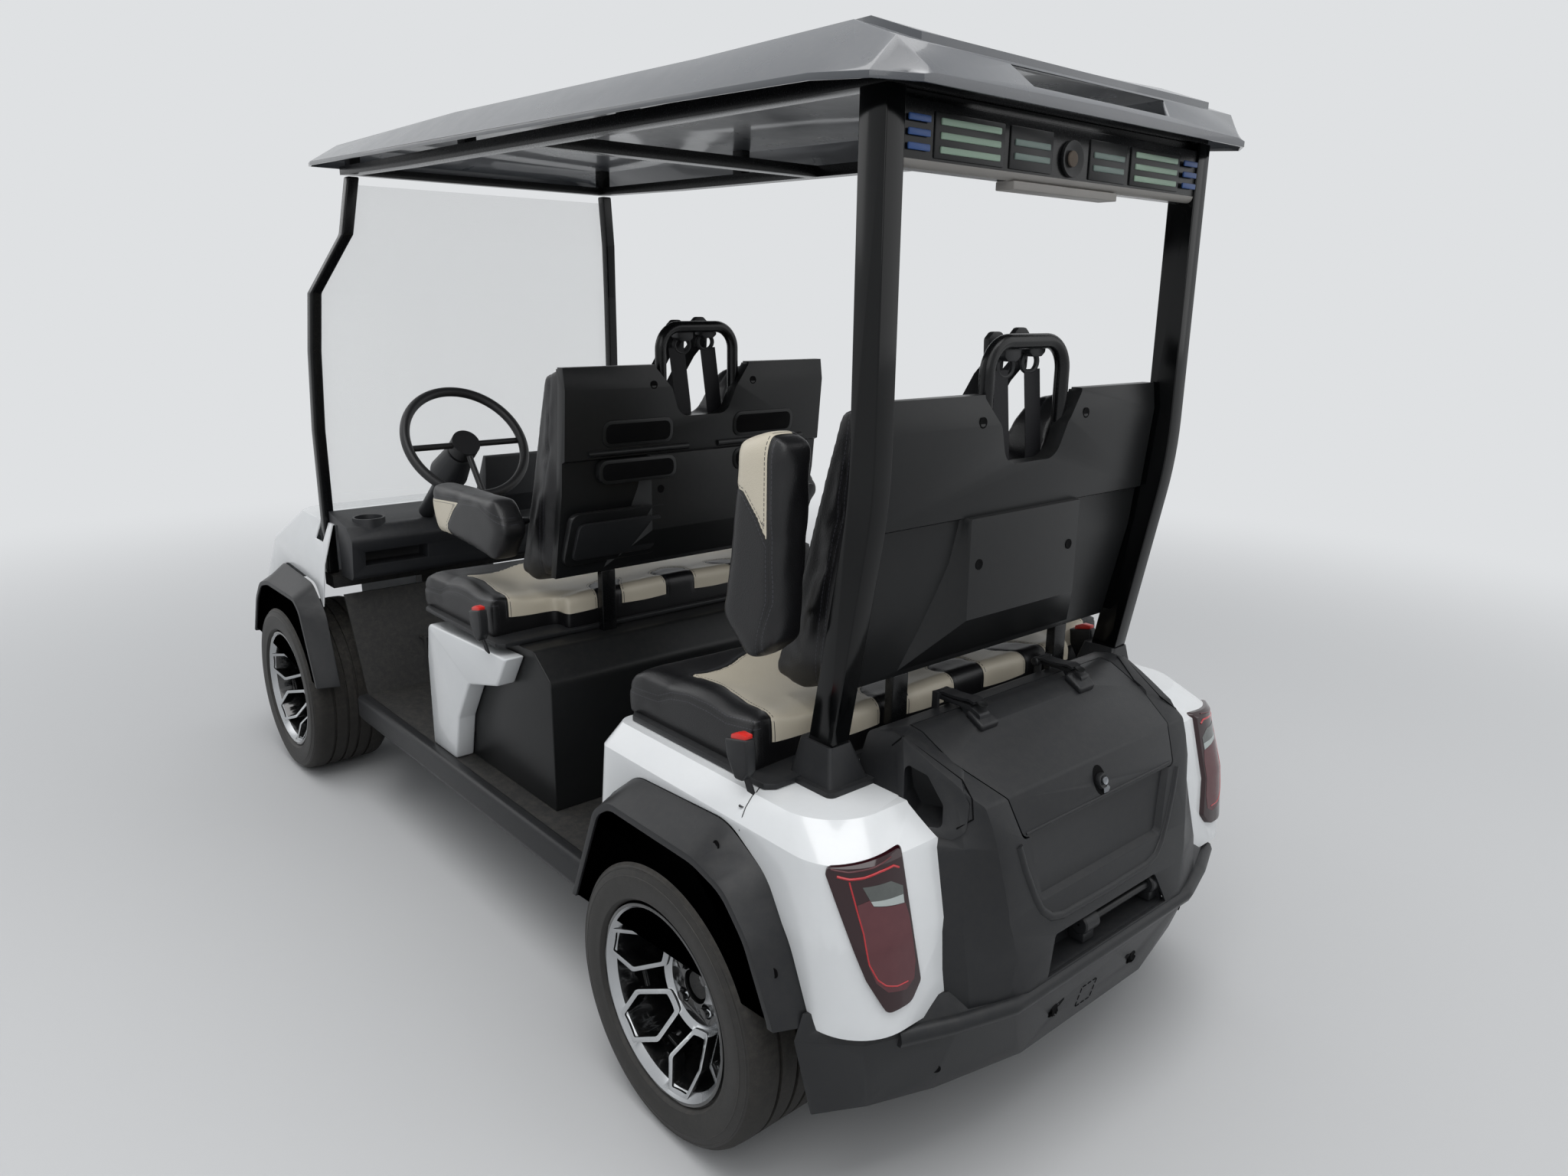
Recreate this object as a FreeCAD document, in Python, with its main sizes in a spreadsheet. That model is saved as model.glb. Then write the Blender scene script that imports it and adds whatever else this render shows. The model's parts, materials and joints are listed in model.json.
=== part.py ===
import FreeCAD, Part
import math
import os

from FreeCAD import Placement, Rotation, Vector

# Four-seat electric golf cart with a rear trunk, in millimetres.
# While it is modelled, x is measured forward from the rear axle, y to the left from the middle
# plane and z up from the ground. The placement of every piece then moves the whole cart forward
# so that the origin is under the middle of its length.

doc = FreeCAD.newDocument("golf_cart")
sheet = doc.addObject("Spreadsheet::Sheet", "Sizes")

SIZES = [
    # running gear
    ("wheelbase", 2187, "rear axle to front axle"),
    ("tyre_radius", 280, "loaded and free radius of the 22 x 10 - 14 tyre"),
    ("tyre_outer_y", 680, "outer sidewall from the middle plane"),
    ("tyre_width", 250, "section width"),
    ("tyre_wall", 16, "tread and sidewall thickness"),
    ("bead_radius", 180, "radius on which the tyre sits, 14 inch rim"),
    ("rim_lip_radius", 193, "outer radius of the rim flange"),
    ("rim_wall", 7, "thickness of the rim barrel"),
    ("spoke_depth", 24, "thickness of the dished spokes"),
    ("hub_set", 84, "hub face inboard of the rim lip"),
    ("petal_count", 6, "hexagonal spoke loops round the hub"),
    ("spoke_bar", 9, "width of a spoke bar"),
    ("hub_radius", 84, "machined hub disc"),
    ("bore_radius", 34, "centre bore of the rim"),
    ("nut_circle", 101.6, "pitch circle of the four wheel nuts"),
    ("nut_radius", 10, "wheel nut"),
    ("nut_well", 15, "radius of the well round a wheel nut"),
    ("kingpin_y", 450, "steering axis from the middle plane"),
    ("arm_pivot_back", 90, "steering arm eye behind the front axle"),
    # frame and floor
    ("frame_rail_y", 240, "middle of a frame rail"),
    ("frame_rail_w", 50, "rail width"),
    ("frame_rail_h", 60, "rail height"),
    ("floor_z", 345, "top of the floor"),
    ("floor_thick", 6, "floor plate"),
    ("floor_half", 545, "half width of the floor plate"),
    ("rear_beam_z", 600, "beam that carries the rear posts"),
    ("sill_wide", 35, "sill outside the floor plate"),
    ("sill_drop", 83, "depth of the sill below the floor"),
    ("floor_rear_x", 277, "front wall of the rear seat base"),
    ("floor_front_back", 397, "foot of the toe board behind the front axle"),
    ("toe_top_back", 257, "top edge of the toe board behind the front axle"),
    ("toe_top_z", 640, "top edge of the toe board"),
    # body shells
    ("skin", 4, "thickness of the moulded body panels"),
    ("deck_z", 735, "top of the rear fenders, where the seat rests"),
    ("fender_y", 612, "outer side of a rear fender"),
    ("fender_front_x", 305, "front edge of a rear fender"),
    ("fender_low_z", 405, "lower edge of a rear fender"),
    ("flare_lip_y", 672, "outer lip of the wheel flares"),
    ("flare_root_y", 606, "inner edge of the wheel flares"),
    ("flare_lip_w", 14, "width of the lip of a flare"),
    ("flare_skin", 5, "thickness of a flare"),
    ("trunk_front_x", -207, "front wall of the trunk"),
    ("trunk_floor_z", 520, "floor of the trunk"),
    ("trunk_skin", 5, "wall of the trunk tub and lid"),
    ("lid_gap", 3, "gap round the trunk lid"),
    ("hinge_x", -214, "trunk hinge axis"),
    ("hinge_z", 842, "trunk hinge axis"),
    ("hinge_pin", 3, "radius of a hinge pin"),
    ("lid_front_x", -262, "front edge of the trunk lid"),
    ("hinge_y", 160, "hinge arms from the middle plane"),
    ("bumper_skin", 6, "thickness of the bumpers"),
    # seats
    ("seat_pitch", 1010, "front bench ahead of the rear bench"),
    ("cushion_half", 545, "half width of a cushion"),
    ("cushion_top", 852, "crown of a cushion"),
    ("back_half", 400, "half width of a backrest"),
    ("shell_thick", 24, "moulded shell behind a backrest"),
    ("notch_half", 145, "half width of the notch at the top of a backrest"),
    ("hoop_half", 112, "middle of the belt hoop tube"),
    ("hoop_tube", 14, "radius of the belt hoop tube"),
    # roof and posts
    ("post_w", 41, "width of a rear post across the cart"),
    ("post_d", 57, "depth of a rear post along the cart"),
    ("post_y", 456, "outer face of a rear post"),
    ("post_lean", 98, "how far the foot of a rear post stands forward of its top"),
    ("post_top_x", -303, "rear face of a rear post at the roof"),
    ("post_bend_z", 1250, "bend of a rear post"),
    ("roof_z", 1862, "top of the rear posts"),
    ("roof_rise", 40, "front posts reach higher than the rear ones"),
    ("roof_skin", 5, "roof shell"),
    ("front_post_w", 34, "square of a front post"),
    # front
    ("dash_rear_back", 347, "rear face of the dashboard behind the front axle"),
    ("dash_top_z", 865, "top of the dashboard"),
    ("cup_radius", 42, "cup wells in the dashboard"),
    ("nose_ahead", 413, "front of the bumper ahead of the front axle"),
    ("tail_x", -522, "rear of the trunk and bumper"),
    # steering column
    ("column_y", 270, "steering column from the middle plane"),
    ("wheel_hub_back", 627, "steering wheel hub behind the front axle"),
    ("wheel_hub_z", 1140, "steering wheel hub"),
    ("column_tilt", 38, "column rise in degrees"),
    ("steering_wheel_radius", 178, "rim of the steering wheel"),
    ("running_gap", 0.3, "clearance between pieces that move or pads that rest"),
    ("shaft_gap", 0.08, "radial clearance of a pin or shaft in its bore"),
]

for row, (alias, value, note) in enumerate(SIZES, start=1):
    sheet.set("A%d" % row, alias)
    sheet.set("B%d" % row, str(value))
    sheet.set("C%d" % row, note)
    sheet.setAlias("B%d" % row, alias)
doc.recompute()


class SheetSizes:
    """Reads a driving dimension from the sheet by its alias."""

    def __getattr__(self, alias):
        return float(sheet.get(alias))


s = SheetSizes()
nose_x = s.wheelbase + s.nose_ahead
floor_front_x = s.wheelbase - s.floor_front_back
toe_top_x = s.wheelbase - s.toe_top_back
dash_rear_x = s.wheelbase - s.dash_rear_back
sill_y = s.floor_half + s.sill_wide
origin_shift = -(nose_x + s.tail_x) / 2.0
pieces = []


# Outlines, solids and document objects


def curves(points):
    """Line and arc geometry of a closed outline of (a, b) or (a, b, corner radius)."""
    count = len(points)
    starts, ends, arcs = [], [], []
    for i, point in enumerate(points):
        here = Vector(point[0], point[1], 0)
        radius = point[2] if len(point) > 2 else 0
        before = Vector(*points[i - 1][:2], 0)
        after = Vector(*points[(i + 1) % count][:2], 0)
        if radius <= 0:
            starts.append(here)
            ends.append(here)
            arcs.append(None)
            continue
        back = (before - here).normalize()
        ahead = (after - here).normalize()
        half = back.getAngle(ahead) / 2.0
        reach = radius / math.tan(half)
        middle = (back + ahead).normalize()
        centre = here + middle * (radius / math.sin(half))
        first = here + back * reach
        last = here + ahead * reach
        starts.append(first)
        ends.append(last)
        arcs.append(Part.Arc(first, centre - middle * radius, last))
    result = []
    for i in range(count):
        if arcs[i] is not None:
            result.append(arcs[i])
        following = starts[(i + 1) % count]
        if ends[i].distanceToPoint(following) > 1e-6:
            result.append(Part.LineSegment(ends[i], following))
    return result


PLANES = {
    "XY": lambda at: Placement(Vector(0, 0, at), Rotation()),
    "XZ": lambda at: Placement(Vector(0, at, 0), Rotation(Vector(1, 0, 0), 90)),
    "YZ": lambda at: Placement(Vector(at, 0, 0), Rotation(Vector(1, 1, 1), 120)),
}
NORMALS = {"XY": Vector(0, 0, 1), "XZ": Vector(0, 1, 0), "YZ": Vector(1, 0, 0)}


def wire(points, plane, at):
    """Closed wire of an outline on a plane across the cart's axes."""
    edges = [curve.toShape() for curve in curves(points)]
    outline = Part.Wire(Part.__sortEdges__(edges))
    outline.Placement = PLANES[plane](at)
    return outline


def prism(points, plane, low, high):
    """Solid between two parallel planes."""
    return Part.Face(wire(points, plane, low)).extrude(NORMALS[plane] * (high - low))


def loft(sections, plane):
    """Ruled solid through (position, outline) sections on parallel planes."""
    return Part.makeLoft([wire(points, plane, at) for at, points in sections], True, True)


def box(x0, x1, y0, y1, z0, z1):
    """Block between two corners."""
    return Part.makeBox(x1 - x0, y1 - y0, z1 - z0, Vector(x0, y0, z0))


def rod(start, end, radius):
    """Round bar between two points."""
    axis = Vector(*end) - Vector(*start)
    return Part.makeCylinder(radius, axis.Length, Vector(*start), axis)


def mirrored(shape):
    """The same shape on the right side of the cart."""
    return shape.mirror(Vector(0, 0, 0), Vector(0, 1, 0))


def both_sides(shape):
    """A shape and its mirror image, kept as separate solids."""
    return Part.makeCompound([shape, mirrored(shape)])


def across(points):
    """Outline symmetric about the middle plane, from its half with rising first values."""
    return points + [(a, -b) + tuple(rest) for a, b, *rest in reversed(points)]


def add(label, shape):
    """Puts a finished shape into the document as a sub-part of that name."""
    piece = doc.addObject("Part::Feature", label)
    piece.Label = label
    piece.Shape = shape.removeSplitter() if shape.ShapeType != "Compound" else shape
    pieces.append(piece)
    return piece


def plane_of(body, role):
    """Origin plane of a body, found by its role."""
    return next(item for item in body.Origin.OriginFeatures if item.Role == role)


def sketch_on(body, role, loops, offset="0 mm"):
    """Sketch of closed outlines on an origin plane, set off by an expression."""
    sketch = body.newObject("Sketcher::SketchObject", body.Label + "_sketch")
    sketch.AttachmentSupport = (plane_of(body, role), [""])
    sketch.MapMode = "FlatFace"
    sketch.setExpression(".AttachmentOffset.Base.z", offset)
    for loop in loops:
        for curve in curves(loop):
            sketch.addGeometry(curve, False)
    return sketch


def padded(label, role, loops, length, offset="0 mm", middle=False):
    """PartDesign body padded from a sketch, its length and offset bound to the sheet."""
    body = doc.addObject("PartDesign::Body", label)
    body.Label = label
    sketch = sketch_on(body, role, loops, offset)
    pad = body.newObject("PartDesign::Pad", label + "_pad")
    pad.Profile = sketch
    if middle:
        pad.Midplane = True
    pad.setExpression("Length", length)
    body.Tip = pad
    pieces.append(body)
    return body


# Wheels: rim and tyre turned about the axle, windows cut through the spoke disc

rim_outer_y = s.tyre_outer_y - 8
rim_inner_y = s.tyre_outer_y - s.tyre_width + 8


def wheel_profiles():
    """Half sections (distance along the axle, radius) of rim barrel, spoke dish, hub and tyre."""
    lip = s.rim_lip_radius
    bead = s.bead_radius
    bed = bead - s.rim_wall
    barrel = [
        (rim_inner_y, lip), (rim_inner_y, bed), (rim_outer_y - 96, bed - 14),
        (rim_outer_y - 16, bed), (rim_outer_y, lip - 6), (rim_outer_y, lip),
        (rim_outer_y - 6, lip), (rim_outer_y - 8, bead), (rim_inner_y + 8, bead),
        (rim_inner_y + 6, lip),
    ]
    face = rim_outer_y - s.hub_set
    deep = s.spoke_depth
    dish = [
        (face - deep, s.hub_radius - 12), (face - 4, s.hub_radius - 12), (face + 10, s.hub_radius + 12),
        (rim_outer_y - 30, 142), (rim_outer_y - 5, bed + 9), (rim_outer_y - 12, bed + 4),
        (rim_outer_y - 16 - deep, bed + 4), (rim_outer_y - 34 - deep, 142),
    ]
    disc = [(face - deep, 0), (face + 2, 0), (face + 2, s.hub_radius - 8), (face - 4, s.hub_radius),
            (face + 8, s.hub_radius + 11), (face - deep + 8, s.hub_radius + 11),
            (face - deep, s.hub_radius - 4)]
    outer = s.tyre_outer_y
    inner = outer - s.tyre_width
    tread = s.tyre_radius
    wall = s.tyre_wall
    bead_in = rim_inner_y + 8 + s.running_gap
    bead_out = rim_outer_y - 8 - s.running_gap
    tyre = [
        (bead_in, bead), (bead_in, lip + 4), (inner + 2, lip + 16, 12), (inner, (lip + tread) / 2, 60),
        (inner + 8, tread - 14, 8), (inner + 26, tread, 12), (outer - 26, tread, 12),
        (outer - 8, tread - 14, 8), (outer, (lip + tread) / 2, 60), (outer - 2, lip + 16, 12),
        (bead_out, lip + 4), (bead_out, bead), (bead_out - wall, bead),
        (bead_out - wall, tread - wall - 24), (outer - wall - 30, tread - wall),
        (inner + wall + 30, tread - wall), (bead_in + wall, tread - wall - 24),
        (bead_in + wall, bead),
    ]
    return barrel, dish, disc, tyre


def turned(points, side):
    """Solid of revolution about the axle from a (y, radius) half section."""
    outline = [(a, b) + tuple(rest) for a, b, *rest in points]
    face = Part.Face(wire(outline, "XY", 0))
    # the outline's first value becomes y and its second the radius along x
    face.Placement = Placement(Vector(0, 0, 0), Rotation(Vector(1, 1, 0), 180))
    solid = face.revolve(Vector(0, 0, 0), Vector(0, 1, 0), 360)
    return solid if side > 0 else mirrored(solid)


PETAL = [
    # radius and half width on the middle line of a hexagonal spoke loop, hub to lip
    (92, 20), (131, 49), (179, 27),
]


def petal_bars():
    """Bars of one hexagonal loop, pointing up from the axle."""
    points = [(-half, radius) for radius, half in PETAL] + [
        (half, radius) for radius, half in reversed(PETAL)]
    grow = s.spoke_bar / 2

    def offset(by):
        middle = Vector(0, 138, 0)
        result = []
        for a, b in points:
            out = (Vector(a, b, 0) - middle).normalize() * (by * 1.18)
            result.append((a + out.x, b + out.y, 5 if by < 0 else 8))
        return result

    low, high = rim_outer_y - 160, rim_outer_y + 20
    return prism(offset(grow), "XZ", low, high).cut(prism(offset(-grow), "XZ", low, high))


def link_bar():
    """Low bar between two loops, on the side of the loop that points up."""
    radius, half = PETAL[1]
    turn = math.radians(360.0 / s.petal_count)
    across = half * math.cos(turn) - radius * math.sin(turn), half * math.sin(turn) + radius * math.cos(turn)
    start = Vector(-half + 3, 0, radius)
    end = Vector(across[0] - 3, 0, across[1])
    along = (end - start).normalize()
    side = Vector(-along.z, 0, along.x) * 5
    corners = [start - side, end - side, end + side, start + side]
    low = rim_outer_y - s.hub_set + 4
    return prism([(corner.x, corner.z) for corner in corners], "XZ", low, low + 26)


def make_rim():
    """Left rim standing at the origin of its axle."""
    barrel, dish, disc, _ = wheel_profiles()
    loops = petal_bars()
    step = 360.0 / s.petal_count
    first = step / 4
    spokes = []
    links = []
    for index in range(int(s.petal_count)):
        for shape, group in ((loops, spokes), (link_bar(), links)):
            turned_shape = shape.copy()
            turned_shape.rotate(Vector(0, 0, 0), Vector(0, 1, 0), first + index * step)
            group.append(turned_shape)
    spoke_set = turned(dish, 1).common(spokes[0].fuse(spokes[1:]))
    solid = turned(barrel, 1).fuse([turned(disc, 1), spoke_set] + links)
    face = rim_outer_y - s.hub_set
    wells = []
    nuts = []
    for index in range(4):
        angle = math.radians(45 + 90 * index)
        centre = Vector(math.cos(angle), 0, math.sin(angle)) * (s.nut_circle / 2)
        wells.append(Part.makeCylinder(
            s.nut_well, 30, centre + Vector(0, face - 12, 0), Vector(0, 1, 0)))
        nuts.append(Part.makeCylinder(
            s.nut_radius, 26, centre + Vector(0, face - 14, 0), Vector(0, 1, 0)))
    bore = Part.makeCylinder(s.bore_radius, 200, Vector(0, face - 100, 0), Vector(0, 1, 0))
    return solid.cut([bore] + wells).fuse(nuts)


rim_shape = make_rim()
tyre_shape = turned(wheel_profiles()[3], 1)
axle_places = {"front": s.wheelbase, "rear": 0.0}
for end, axle_x in axle_places.items():
    for side_name, side in (("left", 1), ("right", -1)):
        for kind, shape in (("rim", rim_shape), ("tyre", tyre_shape)):
            placed = shape.copy() if side > 0 else mirrored(shape)
            placed = placed.translated(Vector(axle_x, 0, s.tyre_radius))
            add("%s_%s_%s" % (kind, end, side_name), placed)

# Knuckles: a kingpin block with spindle and steering arm, inside the front rims

spindle_radius = 16.0
stub_radius = 27.0
kingpin_half = 92.0
spoke_back_y = rim_outer_y - s.hub_set - s.spoke_depth


def make_knuckle():
    """Left knuckle about its kingpin, at the front axle."""
    x0, z0 = s.wheelbase, s.tyre_radius
    post = Part.makeCylinder(20, 2 * kingpin_half, Vector(x0, s.kingpin_y, z0 - kingpin_half))
    spindle = rod((x0, s.kingpin_y, z0), (x0, spoke_back_y - s.running_gap, z0), spindle_radius)
    flange = rod((x0, spoke_back_y - 16, z0), (x0, spoke_back_y - s.running_gap, z0), 74)
    stub = rod((x0, spoke_back_y - 4, z0), (x0, spoke_back_y + 20, z0), stub_radius)
    arm = prism(
        [(x0 + 14, s.kingpin_y - 14), (x0 + 14, s.kingpin_y + 14),
         (x0 - s.arm_pivot_back - 14, s.kingpin_y + 12, 10),
         (x0 - s.arm_pivot_back - 14, s.kingpin_y - 16, 10)],
        "XY", z0 - 40, z0 - 26)
    return post.fuse([spindle, flange, stub, arm])


knuckle = make_knuckle()
add("knuckle_left", knuckle)
add("knuckle_right", mirrored(knuckle))

# Steering rack: a bar that slides across the cart under the knuckle arms

rack_x = s.wheelbase - s.arm_pivot_back
rack_radius = 8.0
rack_z = s.tyre_radius - 40 - s.running_gap - rack_radius
rack_end = s.kingpin_y - 4
rack_bar = rod((rack_x, -rack_end, rack_z), (rack_x, rack_end, rack_z), rack_radius)
add("steering_rack", rack_bar)

# Frame: two rails kicked up over the rear axle, cross-members and the roof uprights

rail_in = s.frame_rail_y - s.frame_rail_w / 2
rail_out = s.frame_rail_y + s.frame_rail_w / 2
rail_top = s.floor_z - s.floor_thick
rail_low = rail_top - s.frame_rail_h
kick = 120.0
tail_end = s.tail_x + 36
rail_end = nose_x - 60
rail_outline = [
    (tail_end, rail_low + kick), (150, rail_low + kick), (255, rail_low),
    (rail_end, rail_low), (rail_end, rail_top), (s.floor_rear_x - 2, rail_top),
    (170, rail_top + kick), (tail_end, rail_top + kick),
]
post_foot_x = s.post_top_x + s.post_lean
upright_top = s.deck_z - s.skin
front_post_foot = (s.wheelbase - 150, 537.0)
beam_half = front_post_foot[1] + s.front_post_w / 2
front_beam_z = s.toe_top_z + 10


def make_frame():
    """Welded frame as one solid."""
    rail = prism(rail_outline, "XZ", rail_in, rail_out)
    members = [mirrored(rail)]
    for x0 in (-420.0, -150.0):
        members.append(box(x0, x0 + 50, -rail_in, rail_in, rail_low + kick, rail_top + kick))
    for x0 in (520.0, 1150.0, s.wheelbase - 497, s.wheelbase + 200):
        members.append(box(x0, x0 + 50, -rail_in, rail_in, rail_low, rail_top))
    for x0 in (520.0, s.wheelbase - 497):
        for y0, y1 in ((rail_out, s.floor_half - 25), (-s.floor_half + 25, -rail_out)):
            members.append(box(x0, x0 + 50, y0, y1, rail_top - 35, rail_top))
    foot = post_foot_x + 3
    beam = (s.rear_beam_z, s.rear_beam_z + 40)
    for y0, y1 in ((rail_in, rail_out), (-rail_out, -rail_in)):
        members.append(box(foot, foot + 50, y0, y1, rail_top + kick, beam[0]))
    members.append(box(foot, foot + 50, -s.post_y, s.post_y, *beam))
    for y0, y1 in ((s.post_y - s.post_w, s.post_y), (-s.post_y, s.post_w - s.post_y)):
        members.append(box(foot, foot + 50, y0, y1, beam[1], upright_top))
    for y0, y1 in ((rail_in, rail_out), (-rail_out, -rail_in)):
        members.append(box(s.wheelbase - 202, s.wheelbase - 152, y0, y1, rail_top, front_beam_z))
    members.append(box(s.wheelbase - 202, s.wheelbase - 127, -beam_half, beam_half, front_beam_z, front_beam_z + 40))
    housing = rod((rack_x, -rail_out, rack_z), (rack_x, rail_out, rack_z), 20)
    for y0, y1 in ((rail_in, rail_out), (-rail_out, -rail_in)):
        members.append(box(rack_x - 14, rack_x + 14, y0 + 8, y1 - 8, rack_z, rail_low))
    frame = rail.fuse(members + [housing])
    bore = rod((rack_x, -400, rack_z), (rack_x, 400, rack_z), rack_radius + s.shaft_gap)
    return frame.cut(bore)


frame_shape = make_frame()
add("chassis_frame", frame_shape)

# Floor with toe board, and the sills along its edges

floor_low = s.floor_z - s.floor_thick
floor_outline = [
    (s.floor_rear_x, floor_low), (floor_front_x, floor_low),
    (toe_top_x, s.toe_top_z), (toe_top_x - 8, s.toe_top_z),
    (floor_front_x - 4, s.floor_z), (s.floor_rear_x, s.floor_z),
]
padded("floor_pan", "XZ_Plane", [floor_outline], "2 * Sizes.floor_half", middle=True)

sill_low = s.floor_z - s.sill_drop
sill_outline = [
    (s.floor_half, sill_low), (sill_y - 14, sill_low), (sill_y, sill_low + 22),
    (sill_y, s.floor_z - 6), (sill_y - 8, s.floor_z + 4), (s.floor_half, s.floor_z + 4),
]
sill_start, sill_end = 345.0, floor_front_x
add("sills", both_sides(prism(sill_outline, "YZ", sill_start, sill_end)))

# Trunk: faceted outer form, shelled, with the lid cut out of its top and rear

# side view: the roof of the trunk, its ridge and its rear face from the ridge down
trunk_roof = [(s.trunk_front_x, 816, 14), (s.lid_front_x, 828), (-290, 824)]
trunk_ridge = (-452, 745, 14)
trunk_rear = [(-481, 674), (-497, 536), (-522, 402), (-530, 396), (-530, 300)]
TRUNK_LEVELS = [
    # z, y at the front wall, then x and y of the seam, the facet edge and the rear crease, rear x
    (396, 410, -440, 410, -486, 372, -513, 292, -522),
    (470, 410, -434, 410, -478, 372, -508, 276, -513),
    (536, 408, -425, 408, -462, 370, -498, 286, -505),
    (674, 400, -378, 400, -440, 352, -476, 308, -485),
    (769, 368, -316, 368, -394, 335, -449, 318, -458),
    (834, 342, -286, 342, -372, 322, -430, 312, -440),
]


def trunk_form(shrink):
    """Outer form of the trunk, taken in by a wall thickness."""
    k = shrink
    sections = []
    for z, front_y, seam_x, seam_y, edge_x, edge_y, crease_x, crease_y, rear_x in TRUNK_LEVELS:
        half = [(s.trunk_front_x - k, front_y - k), (seam_x, seam_y - k), (edge_x + k, edge_y - k),
                (crease_x + k, crease_y - k), (rear_x + k, crease_y - 40)]
        sections.append((z, across(half)))
    ridge_x, ridge_z, ridge_radius = trunk_ridge
    side = [(s.trunk_front_x, 300), (s.trunk_front_x, 400)]
    side += [(x, z - k, *rest) for x, z, *rest in trunk_roof]
    side.append((ridge_x + k, ridge_z - k, ridge_radius))
    side += [(x + k, z) for x, z in trunk_rear]
    return loft(sections, "XY").common(prism(side, "XZ", -500, 500))


trunk_outer = trunk_form(0)
trunk_inner = trunk_form(s.trunk_skin)
trunk_cavity = trunk_inner.common(box(-560, 0, -500, 500, s.trunk_floor_z, 900))
under_trunk = s.trunk_floor_z - s.trunk_skin
under_room = trunk_inner.common(box(-560, 0, -500, 500, 300, under_trunk))
under_room = under_room.fuse(box(-452, 0, -350, 350, 300, under_trunk - 20))


def lid_cutter(grow):
    """Region of the lid in the rear view, grown by half the gap."""
    low = 674 - grow
    points = [(241 + grow, low, 14), (256 + grow, 741), (297 + grow, 790), (297 + grow, 900)]
    half = [(-a, b, *rest) for a, b, *rest in reversed(points)]
    return prism(half + points, "YZ", -600, s.lid_front_x + grow)


SLOT_END = [(197, 402), (165, 470)]
slot_back_x = -466.0


def recess(grow):
    """Recess between the grip slot and the lid, grown by a wall."""
    sections = []
    for x, top_y, low_y, low_z in [(-560, 262, 222, 512), (-455, 215, 175, 563)]:
        half = [(top_y + grow, 674 + grow), (low_y + grow, low_z - grow, 12)]
        sections.append((x, [(-y, *rest) for y, *rest in half] + half[::-1]))
    return loft(sections, "YZ")


recess_depth = 12.0
recess_back = trunk_form(recess_depth)
recess_wall = trunk_form(recess_depth + s.trunk_skin)

VENT = [
    # outline of the vent pod on its facet: along the facet and height
    (-8, 800), (0, 830, 8), (28, 846, 8), (108, 781, 14), (134, 747, 10), (134, 702, 14),
    (113, 688, 8), (26, 694, 14), (4, 748, 14),
]
VENT_MOUTH = [(12, 789, 8), (56, 778, 14), (90, 738, 10), (94, 703, 8), (36, 703, 8), (20, 735, 8)]
vent_corner = Vector(-300, 372, 0)
vent_turn = math.degrees(math.atan2(-70, -140))


def on_facet(points, deep, proud):
    """Block on the facet behind the seam, from deep inside to proud of it."""
    block = prism(points, "XZ", -proud, deep)
    block.rotate(Vector(0, 0, 0), Vector(0, 0, 1), vent_turn)
    return block.translated(vent_corner)


pod = on_facet(VENT, 44, 80).common(trunk_form(-3))
mouth = on_facet(VENT_MOUTH, 38, 80)
tub = trunk_outer.cut(trunk_cavity).cut(under_room)
tub = tub.fuse(trunk_outer.common(recess(s.trunk_skin)).cut(recess_wall))
tub = tub.cut(recess(0).cut(recess_back))
tub = tub.fuse([pod, mirrored(pod)]).cut([mouth, mirrored(mouth)])
tub = tub.cut(box(s.trunk_front_x, 0, -500, 500, 300, 900)).cut(lid_cutter(s.lid_gap))
(slot_low_y, slot_low_z), (slot_top_y, slot_top_z) = SLOT_END
lower_slot = prism([(-slot_low_y, slot_low_z), (slot_low_y, slot_low_z),
                    (slot_top_y, slot_top_z, 10), (-slot_top_y, slot_top_z, 10)],
                   "YZ", -600, slot_back_x)
slot_y = slot_low_y + 11
slot_walls = [box(slot_back_x, slot_back_x + 5, -slot_y, slot_y, 396, slot_top_z + 8),
              box(-506, slot_back_x, -slot_y, slot_y, slot_top_z + 3, slot_top_z + 8),
              box(-514, slot_back_x, -slot_y, slot_y, 396, slot_low_z - 1).common(trunk_outer)]
slot_end = prism([(slot_low_y + 1, 396), (slot_y, 396), (slot_top_y + 11, slot_top_z + 8),
                  (slot_top_y + 1, slot_top_z + 8)], "YZ", -508, slot_back_x).common(trunk_outer)
tub = tub.cut(lower_slot).fuse(slot_walls + [slot_end, mirrored(slot_end)])
lid = trunk_outer.cut(trunk_inner).common(lid_cutter(0))
lid_lock = rod((-470, 0, 703), (-492, 0, 706), 13)
hinge_half = 14.0
lug_wide = 6.0
arm_low = s.hinge_z - 7
arms = []
for y in (-s.hinge_y, s.hinge_y):
    arm = prism([(-318, 806), (-318, 832, 6), (-290, arm_low + 8, 10), (s.hinge_x, arm_low + 8),
                 (s.hinge_x, arm_low), (-272, arm_low), (-285, 818)],
                "XZ", y - hinge_half, y + hinge_half)
    eye = rod((s.hinge_x, y - hinge_half, s.hinge_z), (s.hinge_x, y + hinge_half, s.hinge_z), 8)
    bore = rod((s.hinge_x, y - 30, s.hinge_z), (s.hinge_x, y + 30, s.hinge_z),
               s.hinge_pin + s.shaft_gap)
    arms.append(arm.cut(trunk_inner).fuse(eye).cut(bore))
    for side in (-1, 1):
        edge = y + side * (hinge_half + s.running_gap)
        low, high = sorted((edge, edge + side * lug_wide))
        lug = box(s.hinge_x - 7, s.trunk_front_x, low, high, 800, s.hinge_z + 7)
        tub = tub.fuse(lug)
    tub = tub.fuse(rod((s.hinge_x, y - 20, s.hinge_z), (s.hinge_x, y + 20, s.hinge_z), s.hinge_pin))
lid = lid.fuse([lid_lock] + arms)

# Rear fenders wrap the corner of the cart from the side to the trunk

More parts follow.
